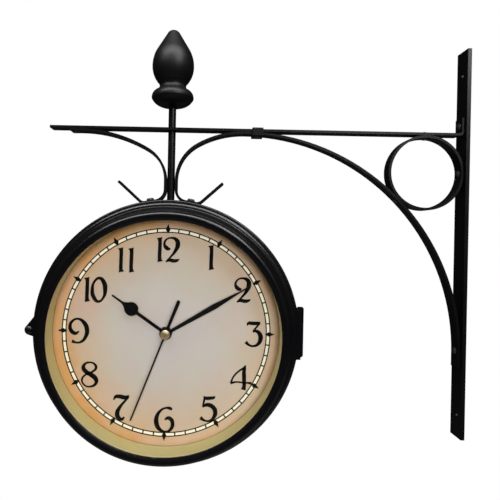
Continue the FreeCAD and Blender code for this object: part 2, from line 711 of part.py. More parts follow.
def make_finial():
    """The turned finial: a round base, a waist and a pointed egg, bored for the rod."""
    bore = S.rod_thread_radius + S.seat_gap
    tip = ball(S.finial_tip_radius, S.finial_height - S.finial_tip_height)
    body = turned("finial", [
        (bore, 0), (S.finial_foot_radius, 0, 11.0, 1),
        (S.finial_base_radius, S.finial_base_height, S.finial_base_round, 1),
        (S.finial_ledge_radius, S.finial_ledge_height, S.finial_neck_round, -1),
        (S.finial_neck_radius, S.finial_neck_height, S.finial_neck_round, -1),
        (S.finial_neck_radius + 1.53, S.finial_neck_height + 3.2, S.finial_bowl_radius, 1),
        (S.finial_body_radius, S.finial_body_height, S.finial_crown_radius, 1),
        (S.finial_taper_radius, S.finial_taper_height),
        (S.finial_tip_radius, S.finial_tip_height, tip, 1),
        (0, S.finial_height), (0, S.finial_bore_depth), (bore, S.finial_bore_depth)])
    keep(place(body, CASE_X, 0, S.arm_height + S.finial_rise), "finial")


def at_foot(shape, side):
    """Turns a shape built at twelve o'clock round the drum to a foot's screw."""
    turn = Rotation(Vector(0, 1, 0), side * S.foot_angle.value)
    moved = shape.copy()
    moved.Placement = Placement(Vector(CASE_X.value, 0, CASE_Z.value), turn).multiply(moved.Placement)
    return moved


def foot_drill(side):
    """The screw hole through a foot and the drum under it."""
    low = Vector(0, 0, INNER_RADIUS.value - 3)
    radius = S.foot_screw_radius.value + S.seat_gap.value
    return at_foot(rod_between(low, low + Vector(0, 0, 10), radius), side)


def make_foot_screws():
    """The two screws that hold the scroll feet on the drum, and their nuts inside."""
    floor = S.case_radius.value + S.seat_gap.value + S.strip_thick.value
    reach = S.shell_thick.value + S.foot_nut_height.value + nut_seat(S.foot_nut_flats) + 0.6
    low = Vector(0, 0, S.case_radius.value - reach)
    shank = rod_between(low, Vector(0, 0, floor), S.foot_screw_radius.value)
    head = Part.makeCylinder(S.foot_head_radius.value, S.foot_head_height.value, Vector(0, 0, floor))
    rim = [edge for edge in head.Edges
           if len(edge.Vertexes) == 1 and abs(edge.CenterOfMass.z - head.BoundBox.ZMax) < 1e-6]
    head = head.makeFillet(S.foot_head_height.value * 0.6, rim)
    slot = Part.makeBox(2 * S.foot_head_radius.value, 0.8, 0.8,
                        Vector(-S.foot_head_radius.value, -0.4, head.BoundBox.ZMax - 0.8))
    screw = shank.fuse(head).cut(slot).removeSplitter()
    group = Part.makeCompound([at_foot(screw, side) for side in (1, -1)])
    keep(shape_object("foot_screws", group), "foot_screws")
    nuts = Part.makeCompound([at_foot(foot_nut(), side) for side in (1, -1)])
    keep(shape_object("foot_nuts", nuts), "foot_nuts")


def foot_nut():
    top = INNER_RADIUS.value - nut_seat(S.foot_nut_flats)
    low = top - S.foot_nut_height.value
    corner = S.foot_nut_flats.value / math.sqrt(3)
    points = [Vector(corner * math.cos(math.radians(60 * k)),
                     corner * math.sin(math.radians(60 * k)), low) for k in range(7)]
    hexagon = Part.Face(Part.makePolygon(points)).extrude(Vector(0, 0, S.foot_nut_height.value))
    return hexagon.cut(Part.makeCylinder(S.foot_screw_radius.value + S.press_gap.value, 20,
                                         Vector(0, 0, low - 5)))


# ---------------------------------------------------------------- spun shells
def shell_outline(start, ending):
    """The stepped half shell in (radius, depth): band, bead, cove, rim and lip outside,
    then back along the inside. start and ending close it at the split."""
    wall = S.shell_thick
    shelf = BAND_DEPTH + S.edge_round
    cove = BEAD_RADIUS - S.cove_step
    rim_edge = S.rim_depth - S.rim_round
    return start + [
        (S.case_radius, BAND_DEPTH, S.edge_round, 1),
        (S.case_radius - S.edge_round, shelf),
        (LEDGE_RADIUS, shelf, S.bead_radius, 1),
        (BEAD_RADIUS, BEAD_END), (cove, BEAD_END, S.cove_radius, -1),
        (RIM_RADIUS, COVE_END), (RIM_RADIUS, rim_edge, S.rim_round, 1),
        (RIM_RADIUS - S.rim_round, S.rim_depth),
        (LIP_RADIUS, LIP_DEPTH), (LIP_RADIUS, LENS_SEAT),
        (RIM_RADIUS - wall, LENS_SEAT),
        (RIM_RADIUS - wall, COVE_END, S.cove_radius + wall, 1),
        (cove - wall, BEAD_END + wall), (BEAD_RADIUS - wall, BEAD_END - wall / 2),
        (LEDGE_RADIUS - wall, BAND_DEPTH), (INNER_RADIUS, BAND_DEPTH - wall / 2)] + ending


def inside_radius(depth):
    """The shell's inside radius at a depth, from the band to the end of the bead."""
    wall = S.shell_thick.value
    corners = [(BAND_DEPTH.value - wall / 2, INNER_RADIUS.value),
               (BAND_DEPTH.value, LEDGE_RADIUS.value - wall),
               (BEAD_END.value - wall / 2, BEAD_RADIUS.value - wall)]
    radius = corners[0][1]
    for (shallow, wide), (deep, narrow) in zip(corners, corners[1:]):
        if depth > shallow:
            radius = wide + (narrow - wide) * (min(depth, deep) - shallow) / (deep - shallow)
    return radius


def make_front_shell():
    """The opening half of the drum, hinged at three o'clock."""
    body = turned("front_shell_spun", shell_outline(
        [(S.case_radius, S.split_depth)], [(INNER_RADIUS, S.split_depth)]))
    on_face(body, "front")
    keep(drilled("front_shell", body, leaf_rivet_drills("door")), "front_shell")


def make_rear_shell():
    """The fixed half of the drum, with the middle band and the spigot that the other
    half closes over."""
    spigot = INNER_RADIUS - S.spigot_gap
    inside = spigot - S.spigot_thick
    body = turned("rear_shell_spun", shell_outline(
        [(spigot, -S.split_depth), (S.case_radius, -S.split_depth)],
        [(INNER_RADIUS, S.spigot_lap - S.split_depth), (inside, S.spigot_lap - S.split_depth),
         (inside, -(S.split_depth + S.spigot_length)),
         (spigot, -(S.split_depth + S.spigot_length))]))
    on_face(body, "rear")
    radius = S.rod_thread_radius.value + S.seat_gap.value
    low = Vector(0, 0, INNER_RADIUS.value - 3)
    drills = [in_case(rod_between(low, low + Vector(0, 0, 6), radius))]
    drills += [foot_drill(1), foot_drill(-1)] + leaf_rivet_drills("fixed")
    keep(drilled("rear_shell", body, drills), "rear_shell")


# ---------------------------------------------------------------- glass and dial
def screw_spots(radius):
    """The places of the dial screws, half way between the quarters."""
    step = 360.0 / DIAL_SCREWS
    return [Vector(radius * math.cos(math.radians(step * (k + 0.5))),
                   radius * math.sin(math.radians(step * (k + 0.5))), 0)
            for k in range(DIAL_SCREWS)]


def make_lens(side):
    body = turned(f"{side}_lens", [
        (0, LENS_BACK), (RIM_RADIUS - S.shell_thick - S.lens_gap, LENS_BACK),
        (RIM_RADIUS - S.shell_thick - S.lens_gap, LENS_SEAT), (0, LENS_SEAT)])
    keep(on_face(body, side), f"{side}_lens")


def make_dial_ring(side):
    """The cream ring between the dial and the glass, with a flange on the dial."""
    outside = SIGHT_RADIUS + S.ring_thick
    body = turned(f"{side}_dial_ring_spun", [
        (SIGHT_RADIUS, S.dial_depth), (FLANGE_RADIUS, S.dial_depth),
        (FLANGE_RADIUS, S.dial_depth + S.ring_thick), (outside, S.dial_depth + S.ring_thick),
        (RING_FRONT_RADIUS + S.ring_thick, LENS_BACK), (RING_FRONT_RADIUS, LENS_BACK)])
    on_face(body, side)
    keep(drilled(f"{side}_dial_ring", body, dial_screw_drills(side)), f"{side}_dial_ring")


def dial_screw_drills(side):
    radius = S.dial_screw_radius.value + S.seat_gap.value
    low = DIAL_BACK.value - 4
    return [raw_face(Part.makeCylinder(radius, 8, spot + Vector(0, 0, low)), side)
            for spot in screw_spots(SCREW_CIRCLE.value)]


def make_dial(side):
    body = new_body(f"{side}_dial_plate")
    sketch = sketch_on(body, f"{side}_dial_outline", "XY_Plane", DIAL_BACK)
    draw_circle(sketch, 0, 0, DIAL_RADIUS)
    draw_circle(sketch, 0, 0, S.bush_radius + S.seat_gap)
    feature(body, "Pad", sketch, S.dial_thick)
    on_face(body, side)
    keep(drilled(f"{side}_dial", body, dial_screw_drills(side)), f"{side}_dial")


def make_dial_clips(side):
    """Four bent clips spot-welded inside the shell, which the dial is screwed to."""
    thick = S.clip_thick.value
    top = DIAL_BACK.value
    outer = inside_radius(top) - S.seat_gap.value
    low = top - S.clip_length.value
    points = [Vector(CLIP_INNER.value, 0, top), Vector(outer, 0, top), Vector(outer, 0, low),
              Vector(outer - thick, 0, low), Vector(outer - thick, 0, top - thick),
              Vector(CLIP_INNER.value, 0, top - thick)]
    face = Part.Face(Part.makePolygon(points + points[:1]))
    clips = []
    for spot in screw_spots(1.0):
        angle = math.degrees(math.atan2(spot.y, spot.x))
        clip = face.revolve(Vector(), Vector(0, 0, 1), S.clip_spread.value)
        clip.rotate(Vector(), Vector(0, 0, 1), angle - S.clip_spread.value / 2)
        clips.append(raw_face(clip, side).cut(dial_screw_drills(side)))
    solids = [solid for clip in clips for solid in clip.Solids]
    keep(shape_object(f"{side}_dial_clips", Part.makeCompound(solids)), f"{side}_dial_clips")


def make_dial_screws(side):
    """Four cheese-head screws through the ring's flange, the dial and the clips."""
    seat = S.dial_depth.value + S.ring_thick.value
    low = DIAL_BACK.value - S.clip_thick.value - 1
    screws = []
    for spot in screw_spots(SCREW_CIRCLE.value):
        shank = Part.makeCylinder(S.dial_screw_radius.value, seat - low, spot + Vector(0, 0, low))
        head = Part.makeCylinder(S.dial_head_radius.value, S.dial_head_height.value,
                                 spot + Vector(0, 0, seat))
        slot = Part.makeBox(2 * S.dial_head_radius.value, 0.6, 0.6,
                            spot + Vector(-S.dial_head_radius.value, -0.3,
                                          seat + S.dial_head_height.value - 0.6))
        screws.append(raw_face(shank.fuse(head).cut(slot).removeSplitter(), side))
    keep(shape_object(f"{side}_dial_screws", Part.makeCompound(screws)), f"{side}_dial_screws")


# ---------------------------------------------------------------- movement
def rounded_box(left, low, right, high, radius):
    """Corners of a rectangle with all four corners rounded."""
    return [(left + radius, low), (right - radius, low, radius, 1), (right, low + radius),
            (right, high - radius, radius, 1), (right - radius, high),
            (left + radius, high, radius, 1), (left, high - radius),
            (left, low + radius, radius, 1)]


def make_movement_case(side):
    """The moulded movement box: works above, battery bay below, threaded bush in front."""
    half = S.movement_side / 2
    body = new_body(f"{side}_movement_case")
    outline = sketch_on(body, f"{side}_movement_outline", "XY_Plane", COVER_FRONT)
    draw_loop(outline, rounded_box(-half, -half, half, half, S.movement_corner))
    feature(body, "Pad", outline, S.movement_thick)
    bush = sketch_on(body, f"{side}_bush_outline", "XY_Plane", MOVEMENT_FRONT)
    draw_circle(bush, 0, 0, S.bush_radius)
    feature(body, "Pad", bush, S.bush_height)
    works = sketch_on(body, f"{side}_works_outline", "XY_Plane", COVER_FRONT)
    inside = half - S.movement_wall
    draw_loop(works, box_corners(-inside, -S.works_floor, inside, inside))
    feature(body, "Pocket", works, S.movement_thick - S.movement_face, reverse=True)
    bay = sketch_on(body, f"{side}_bay_outline", "XY_Plane", COVER_FRONT)
    bay_half = S.battery_length / 2 + S.contact_thick + S.bay_gap / 2
    bay_high = S.battery_radius + S.bay_gap
    draw_loop(bay, box_corners(-bay_half, -S.bay_centre - bay_high,
                               bay_half, -S.bay_centre + bay_high))
    feature(body, "Pocket", bay, S.movement_thick - S.movement_face, reverse=True)
    bore = sketch_on(body, f"{side}_bush_bore", "XY_Plane", COVER_FRONT)
    draw_circle(bore, 0, 0, S.hour_pipe_radius + S.running_gap)
    feature(body, "Pocket", bore, None, reverse=True)
    keep(on_face(body, side), f"{side}_movement_case")


def make_movement_cover(side):
    """The snap-on back over the works, with the hole of the setting knob."""
    half = S.movement_side / 2
    body = new_body(f"{side}_movement_cover")
    sketch = sketch_on(body, f"{side}_cover_outline", "XY_Plane", COVER_BACK)
    draw_loop(sketch, rounded_box(-half, -(S.works_floor + S.movement_wall / 2), half, half,
                                  S.movement_wall))
    draw_circle(sketch, S.knob_offset, S.knob_offset, S.stem_radius + S.running_gap)
    feature(body, "Pad", sketch, S.cover_thick)
    keep(on_face(body, side), f"{side}_movement_cover")


def make_gasket(side):
    body = turned(f"{side}_gasket", [
        (S.bush_radius + S.seat_gap, MOVEMENT_FRONT), (S.gasket_radius, MOVEMENT_FRONT),
        (S.gasket_radius, DIAL_BACK), (S.bush_radius + S.seat_gap, DIAL_BACK)])
    keep(on_face(body, side), f"{side}_gasket")


def make_fixing_nut(side):
    """The hexagon nut on the bush, which clamps the dial to the movement."""
    nut = hex_nut(f"{side}_fixing", S.fixing_nut_flats, S.fixing_nut_height,
                  S.bush_radius + S.press_gap)
    keep(on_dial_lift(nut, side, S.dial_depth), f"{side}_fixing_nut")


def on_dial_lift(obj, side, depth):
    """Puts a piece that starts at z = 0 in front of the mid plane by the depth."""
    towards = -depth if side == "front" else depth
    return place(obj, CASE_X, towards, CASE_Z, face_turn(side))


def make_battery(side):
    """The round cell in the bay, with its button end."""
    centre_depth = WORKS_FRONT - S.battery_radius - S.seat_gap
    half = S.battery_length / 2
    body = turned(f"{side}_battery", [
        (0, -half), (S.battery_radius, -half), (S.battery_radius, half - S.battery_button),
        (S.button_radius, half - S.battery_button), (S.button_radius, half), (0, half)])
    towards = -centre_depth if side == "front" else centre_depth
    lying = face_turn(side) * Rotation(Vector(0, 1, 0), 90)
    keep(place(body, CASE_X, towards, CASE_Z - S.bay_centre, lying), f"{side}_battery")


def make_battery_contacts(side):
    """The two spring plates at the ends of the bay."""
    half = S.battery_length.value / 2
    thick = S.contact_thick.value
    middle = WORKS_FRONT.value - S.battery_radius.value
    plates = []
    for sign in (1, -1):
        inner = half + S.seat_gap.value / 2
        left = inner if sign > 0 else -inner - thick
        corner = Vector(left, -S.bay_centre.value - S.contact_height.value / 2,
                        middle - S.contact_depth.value / 2)
        plates.append(raw_face(Part.makeBox(thick, S.contact_height.value, S.contact_depth.value,
                                            corner), side))
    keep(shape_object(f"{side}_battery_contacts", Part.makeCompound(plates)),
         f"{side}_battery_contacts")


def make_setting_knob(side):
    """The fluted knob on the movement's back, for setting the hands."""
    top = COVER_BACK - S.knob_rise
    low = top - S.knob_height
    body = turned(f"{side}_setting_knob", [
        (0, low), (S.knob_radius, low), (S.knob_radius, top), (S.stem_radius, top),
        (S.stem_radius, top + S.stem_length), (0, top + S.stem_length)])
    flute = sketch_on(body, f"{side}_flute_outline", "XY_Plane", low)
    draw_circle(flute, S.knob_radius + S.knob_flute_radius / 2, 0, S.knob_flute_radius)
    cut = feature(body, "Pocket", flute, S.knob_height, reverse=True)
    DOC.recompute()
    pattern = body.newObject("PartDesign::PolarPattern", "Flutes")
    pattern.Originals = [cut]
    pattern.Axis = (flute, ["N_Axis"])
    pattern.Angle = 360
    pattern.Occurrences = KNOB_FLUTES
    body.Tip = pattern
    turn = face_turn(side)
    sign = 1 if side == "front" else -1
    keep(place(body, CASE_X + S.knob_offset * sign, 0, CASE_Z + S.knob_offset, turn),
         f"{side}_setting_knob")


# ---------------------------------------------------------------- hands
def hand_body(name, corners, depth, bore, collet):
    """A flat hand with a collet behind it, bored for its pipe."""
    body = new_body(name)
    blade = sketch_on(body, f"{name}_blade", "XY_Plane", depth)
    draw_loop(blade, corners)
    feature(body, "Pad", blade, S.hand_thick)
    ring = sketch_on(body, f"{name}_collet", "XY_Plane", depth - S.collet_height)
    draw_circle(ring, 0, 0, collet)
    feature(body, "Pad", ring, S.collet_height)
    hole = sketch_on(body, f"{name}_bore", "XY_Plane", depth - S.collet_height)
    draw_circle(hole, 0, 0, bore)
    feature(body, "Pocket", hole, None, reverse=True)
    return body


def make_hour_hand(side):
    """The spade hand: a narrow stem, a round spade and a needle tip."""
    half = S.hour_stem_half
    needle = S.spade_needle_half
    hub = S.hub_radius
    hub_y = Length(math.sqrt(hub.value ** 2 - half.value ** 2),
                   f"sqrt({hub.formula}^2 - {half.formula}^2)")
    spade_low = Length(math.sqrt(S.spade_radius.value ** 2 - half.value ** 2),
                       f"sqrt({S.spade_radius.formula}^2 - {half.formula}^2)")
    low = S.spade_centre - spade_low
    corners = [
        (half, hub_y), (half, low, S.spade_radius, 1),
        (S.spade_radius, S.spade_centre, S.spade_radius * 1.15, 1),
        (S.spade_radius * 0.66, S.spade_centre + S.spade_radius * 0.85, S.spade_radius * 1.6, -1),
        (needle, S.spade_neck), (needle * 0.8, S.hour_length), (-needle * 0.8, S.hour_length),
        (-needle, S.spade_neck, S.spade_radius * 1.6, -1),
        (-S.spade_radius * 0.66, S.spade_centre + S.spade_radius * 0.85,
         S.spade_radius * 1.15, 1),
        (-S.spade_radius, S.spade_centre, S.spade_radius, 1),
        (-half, low), (-half, hub_y, hub, 1), (-hub, 0, hub, 1), (0, -hub, hub, 1),
        (hub, 0, hub, 1)]
    body = hand_body(f"{side}_hour_hand", corners, HOUR_DEPTH,
                     S.hour_pipe_radius + S.press_gap, S.hour_pipe_radius + 0.9)
    keep(on_face(body, side, S.hour_angle.value), f"{side}_hour_hand")


def make_minute_hand(side):
    """The lance hand: it widens to the middle and ends in a long needle."""
    hub = S.hub_radius * 0.9
    root = S.minute_root_half
    hub_y = Length(math.sqrt(hub.value ** 2 - root.value ** 2),
                   f"sqrt({hub.formula}^2 - {root.formula}^2)")
    needle = S.minute_needle_half
    corners = [
        (root, hub_y), (S.minute_lance_half, S.minute_lance_at), (needle, S.minute_needle_at),
        (needle * 0.8, S.minute_length), (-needle * 0.8, S.minute_length),
        (-needle, S.minute_needle_at), (-S.minute_lance_half, S.minute_lance_at),
        (-root, hub_y, hub, 1), (-hub, 0, hub, 1), (0, -hub, hub, 1), (hub, 0, hub, 1)]
    body = hand_body(f"{side}_minute_hand", corners, MINUTE_DEPTH,
                     S.minute_arbor_radius + S.press_gap, S.minute_arbor_radius + 0.8)
    keep(on_face(body, side, S.minute_angle.value), f"{side}_minute_hand")


def make_second_hand(side):
    """The sweep hand with its round-ended counterweight tail."""
    tail = S.tail_half
    corners = [
        (S.second_root_half, 0), (S.second_tip_half, S.second_length),
        (-S.second_tip_half, S.second_length), (-S.second_root_half, 0),
        (-S.tail_root_half, -S.second_root_half), (-tail, -(S.tail_length - tail), tail, 1),
        (0, -S.tail_length, tail, 1), (tail, -(S.tail_length - tail)),
        (S.tail_root_half, -S.second_root_half)]
    body = hand_body(f"{side}_second_hand", corners, SECOND_DEPTH,
                     S.second_pin_radius + S.press_gap, S.second_pin_radius + 1.0)
    keep(on_face(body, side, S.second_angle.value), f"{side}_second_hand")


def make_second_cap(side):
    """The domed brass cap and the pin that carries the sweep hand."""
    seat = SECOND_DEPTH + S.hand_thick
    pin = S.second_pin_radius
    dome = S.cap_height - S.cap_edge
    body = turned(f"{side}_second_cap", [
        (0, WORKS_FRONT - S.pipe_depth), (pin, WORKS_FRONT - S.pipe_depth), (pin, seat),
        (S.cap_radius, seat), (S.cap_radius, seat + S.cap_edge, ball(S.cap_radius, dome), 1),
        (0, seat + S.cap_height)])
    keep(on_face(body, side, S.second_angle.value), f"{side}_second_cap")


def make_pipe(side, name, radius, bore, low, high, clockwise):
    body = turned(f"{side}_{name}", [(bore, low), (radius, low), (radius, high), (bore, high)])
    keep(on_face(body, side, clockwise), f"{side}_{name}")


def make_pipes(side):
    """The hour pipe and the minute arbor, one inside the other."""
    hour_bore = S.minute_arbor_radius + S.running_gap
    minute_bore = S.second_pin_radius + S.running_gap
    make_pipe(side, "hour_pipe", S.hour_pipe_radius, hour_bore, WORKS_FRONT - S.pipe_depth / 2,
              HOUR_DEPTH + S.hand_thick + S.pipe_proud, S.hour_angle.value)
    make_pipe(side, "minute_arbor", S.minute_arbor_radius, minute_bore,
              WORKS_FRONT - S.pipe_depth * 0.75,
              MINUTE_DEPTH + S.hand_thick + S.pipe_proud, S.minute_angle.value)


# ---------------------------------------------------------------- hinge
def knuckle_spans(owner):
    """The knuckles of one leaf, as (low, high) along the pin."""
    count = HINGE_KNUCKLES
    pitch = S.hinge_length.value / count
    low = -S.hinge_length.value / 2
    gap = S.knuckle_gap.value / 2
    mine = range(0, count, 2) if owner == "fixed" else range(1, count, 2)
    spans = []
    for index in mine:
        bottom = low + index * pitch + (gap if index > 0 else 0)
        top = low + (index + 1) * pitch - (gap if index < count - 1 else 0)
        spans.append((bottom, top))
    return spans


def hinge_axis():
    """The hinge pin's place from the case centre, at the split and clear of the drum."""
    return Vector(S.case_radius.value + S.hinge_stand.value, -S.split_depth.value, 0)


def make_hinge_leaf(owner):
    """A leaf seated on the drum, its knuckles rolled round the pin."""
    axis = hinge_axis()
    radius = S.case_radius.value
    half = S.hinge_length.value / 2
    width = S.fixed_leaf_width.value if owner == "fixed" else S.door_leaf_width.value
    near = S.leaf_gap.value
    low_y = axis.y + near if owner == "fixed" else axis.y - near - width
    deep = sagitta(radius, half) + 1
    plate = Part.makeBox(deep + S.leaf_thick.value, width, 2 * half,
                         Vector(radius - deep, low_y, -half))
    drum = Part.makeCylinder(radius + S.press_gap.value, 4 * width, Vector(0, axis.y - 2 * width, 0),
                             Vector(0, 1, 0))
    other = "door" if owner == "fixed" else "fixed"
    room = S.knuckle_radius.value + S.leaf_gap.value
    clear = [rod_between(Vector(axis.x, axis.y, low - S.knuckle_gap.value),
                         Vector(axis.x, axis.y, high + S.knuckle_gap.value), room)
             for low, high in knuckle_spans(other)]
    plate = plate.cut([drum] + clear)
    rolls = []
    for low, high in knuckle_spans(owner):
        rolls.append(rod_between(Vector(axis.x, axis.y, low), Vector(axis.x, axis.y, high),
                                 S.knuckle_radius.value))
        reach = near + 0.5
        start_y = axis.y - 0.2 if owner == "fixed" else axis.y - reach
        rolls.append(Part.makeBox(S.leaf_thick.value, reach + 0.2, high - low,
                                  Vector(radius, start_y, low)))
    leaf = plate.fuse(rolls).cut(drum)
    bore = rod_between(Vector(axis.x, axis.y, -half - 1), Vector(axis.x, axis.y, half + 1),
                       S.hinge_pin_radius.value + S.running_gap.value)
    leaf = in_case(leaf.cut(bore)).cut(leaf_rivet_drills(owner)).removeSplitter()
    keep(shape_object(f"hinge_{owner}_leaf", leaf), f"hinge_{owner}_leaf")


def make_hinge_pin():
    """The pin, headed at both ends."""
    half = S.hinge_length / 2
    head = half + S.seat_gap
    tip = head + S.pin_head_height
    body = turned("hinge_pin", [
        (0, -tip), (S.pin_head_radius, -tip), (S.pin_head_radius, -head),
        (S.hinge_pin_radius, -head), (S.hinge_pin_radius, head), (S.pin_head_radius, head),
        (S.pin_head_radius, tip), (0, tip)])
    keep(place(body, CASE_X + S.case_radius + S.hinge_stand, -S.split_depth, CASE_Z), "hinge_pin")


def leaf_rivet_seats(owner):
    """The rivets through a leaf and the drum behind it."""
    width = S.fixed_leaf_width.value if owner == "fixed" else S.door_leaf_width.value
    away = S.leaf_gap.value + width * 0.62
    y = -S.split_depth.value + (away if owner == "fixed" else -away)
    seats = []
    for index in range(RIM_RIVETS):
        z = S.leaf_rivet_spread.value * (2 * index / (RIM_RIVETS - 1) - 1)
        outside = S.case_radius.value + S.leaf_thick.value
        inside = math.sqrt(INNER_RADIUS.value ** 2 - (abs(z) + S.rivet_head_radius.value) ** 2)
        back = Vector(CASE_X.value + inside, y, CASE_Z.value + z)
        seats.append(RivetSeat(back, Vector(1, 0, 0), outside - inside))
    return seats


def leaf_rivet_drills(owner):
    return [seat.drill() for seat in leaf_rivet_seats(owner)]


def make_leaf_rivets(owner):
    group = Part.makeCompound([seat.solid() for seat in leaf_rivet_seats(owner)])
    keep(shape_object(f"hinge_{owner}_rivets", group), f"hinge_{owner}_rivets")


# ---------------------------------------------------------------- latch
def latch_centre():
    """The latch screw's place from the case centre."""
    return Vector(-S.case_radius.value - S.lug_reach.value, 0, -S.lug_drop.value)


def tangent_point(outside, centre, radius, side):
    """Where a line from an outside point touches a circle in the XZ plane."""
    away = outside - centre
    span = math.acos(radius / away.Length)
    angle = math.atan2(away.z, away.x) + side * span
    return centre + Vector(math.cos(angle), 0, math.sin(angle)) * radius


def make_latch_lug(owner):
    """An ear on the drum's side: a curved foot and a plate with a rounded nose."""
    centre = latch_centre()
    radius = S.case_radius.value
    nose = S.lug_round.value
    root_x = -radius + sagitta(radius, S.lug_rise.value) + 1.5
    high = Vector(root_x, 0, S.lug_rise.value)
    low = Vector(root_x, 0, -S.lug_fall.value)
    upper = tangent_point(high, centre, nose, 1)
    lower = tangent_point(low, centre, nose, -1)
    tip = centre + Vector(-nose, 0, 0)
    edges = [Part.LineSegment(low, high).toShape(), Part.LineSegment(high, upper).toShape(),
             Part.Arc(upper, tip, lower).toShape(), Part.LineSegment(lower, low).toShape()]
    thick = S.lug_thick.value
    split = -S.split_depth.value
    start_y = split + S.lug_gap.value if owner == "fixed" else split - S.lug_gap.value - thick
    ear = Part.Face(Part.Wire(edges)).extrude(Vector(0, thick, 0)).translated(Vector(0, start_y, 0))
    length = S.lug_foot_length.value
    foot_y = start_y if owner == "fixed" else start_y + thick - length
    wall = S.lug_foot_thick.value
    inner = radius + S.press_gap.value
    profile = Part.makePolygon([
        Vector(-inner, foot_y, 0), Vector(-inner - wall, foot_y, 0),
        Vector(-inner - wall, foot_y + length, 0), Vector(-inner, foot_y + length, 0),
        Vector(-inner, foot_y, 0)])
    foot = Part.Face(profile).revolve(Vector(), Vector(0, 1, 0), 2 * S.lug_foot_spread.value)
    foot.rotate(Vector(), Vector(0, 1, 0), -S.lug_foot_spread.value)
    drum = Part.makeCylinder(inner, 60, Vector(0, -30, 0), Vector(0, 1, 0))
    hole = rod_between(centre + Vector(0, -20, 0), centre + Vector(0, 10, 0),
                       S.latch_screw_radius.value + S.running_gap.value)
    lug = ear.fuse(foot).cut([drum, hole]).removeSplitter()
    name = f"latch_{owner}_lug"
    keep(shape_object(name, in_case(lug)), name)


def make_latch_screw():
    """The closing screw: a slotted head on the opening half's ear."""
    seat = S.split_depth + S.lug_gap + S.lug_thick + S.seat_gap
    tip = S.split_depth - S.lug_gap - S.lug_thick
    dome = S.latch_head_height * 0.45
    body = turned("latch_screw", [
        (0, tip), (S.latch_screw_radius, tip), (S.latch_screw_radius, seat),
        (S.latch_head_radius, seat),
        (S.latch_head_radius, seat + S.latch_head_height - dome, ball(S.latch_head_radius, dome), 1),
        (0, seat + S.latch_head_height)])
    slot = sketch_on(body, "latch_slot", "XY_Plane", seat + S.latch_head_height)
    reach = S.latch_head_radius * 1.1
    draw_loop(slot, box_corners(-reach, -S.latch_slot_width / 2, reach, S.latch_slot_width / 2))
    feature(body, "Pocket", slot, S.latch_slot_depth)
    keep(place(body, CASE_X - S.case_radius - S.lug_reach, 0, CASE_Z - S.lug_drop,
               face_turn("front")), "latch_screw")


# ---------------------------------------------------------------- build and export
def build_bracket():
    make_wall_bar()
    make_top_arm()
    make_brace()
    make_outer_scroll()
    make_corner_ring()
    make_bracket_rivets()
    make_arm_collar()
    make_hanger_rod()
    make_rod_nut()
    make_finial()
    make_foot_screws()


def build_clock(side):
    make_lens(side)
    make_dial_ring(side)
    make_dial(side)
    make_dial_clips(side)
    make_dial_screws(side)
    make_movement_case(side)
    make_movement_cover(side)
    make_gasket(side)
    make_fixing_nut(side)
    make_battery(side)
    make_battery_contacts(side)
    make_setting_knob(side)
    make_pipes(side)
    make_hour_hand(side)
    make_minute_hand(side)
    make_second_hand(side)
    make_second_cap(side)


def build_closure():
    for owner in ("fixed", "door"):
        make_hinge_leaf(owner)
        make_leaf_rivets(owner)
        make_latch_lug(owner)
    make_hinge_pin()
    make_latch_screw()


def export_parts():
    """Checks every object and writes each piece under its own name."""
    DOC.recompute()
    for obj in DOC.Objects:
        if "Invalid" in obj.State or "Error" in obj.State:
            raise RuntimeError(f"{obj.Name} failed: {obj.State}")
    os.makedirs("parts", exist_ok=True)
    for part in PARTS:
        shape = part.Shape
        if shape.isNull() or not shape.isValid() or not shape.Solids:
            raise RuntimeError(f"{part.Label} has no valid solid")
        shape.exportStep(f"parts/{part.Label}.step")
        print(f"{part.Label}: {len(shape.Solids)} solids, {shape.Volume:.1f} mm3")


build_bracket()
make_rear_shell()
make_front_shell()
for face in ("front", "rear"):
    build_clock(face)
build_closure()
export_parts()
print(f"{len(PARTS)} nodes")
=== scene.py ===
"""Looks of the double sided station clock: paint, glass, printed dials, light and camera.

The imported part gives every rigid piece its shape. This file gives each of them its finish, prints
both dials with their minute track, hour diamonds and numerals, and sets up a pale studio.
"""

from __future__ import annotations

import logging
import math
from contextlib import contextmanager
from dataclasses import dataclass, field
from enum import Enum
from typing import Iterable, Iterator, Sequence, Union

import bpy
from mathutils import Matrix, Vector

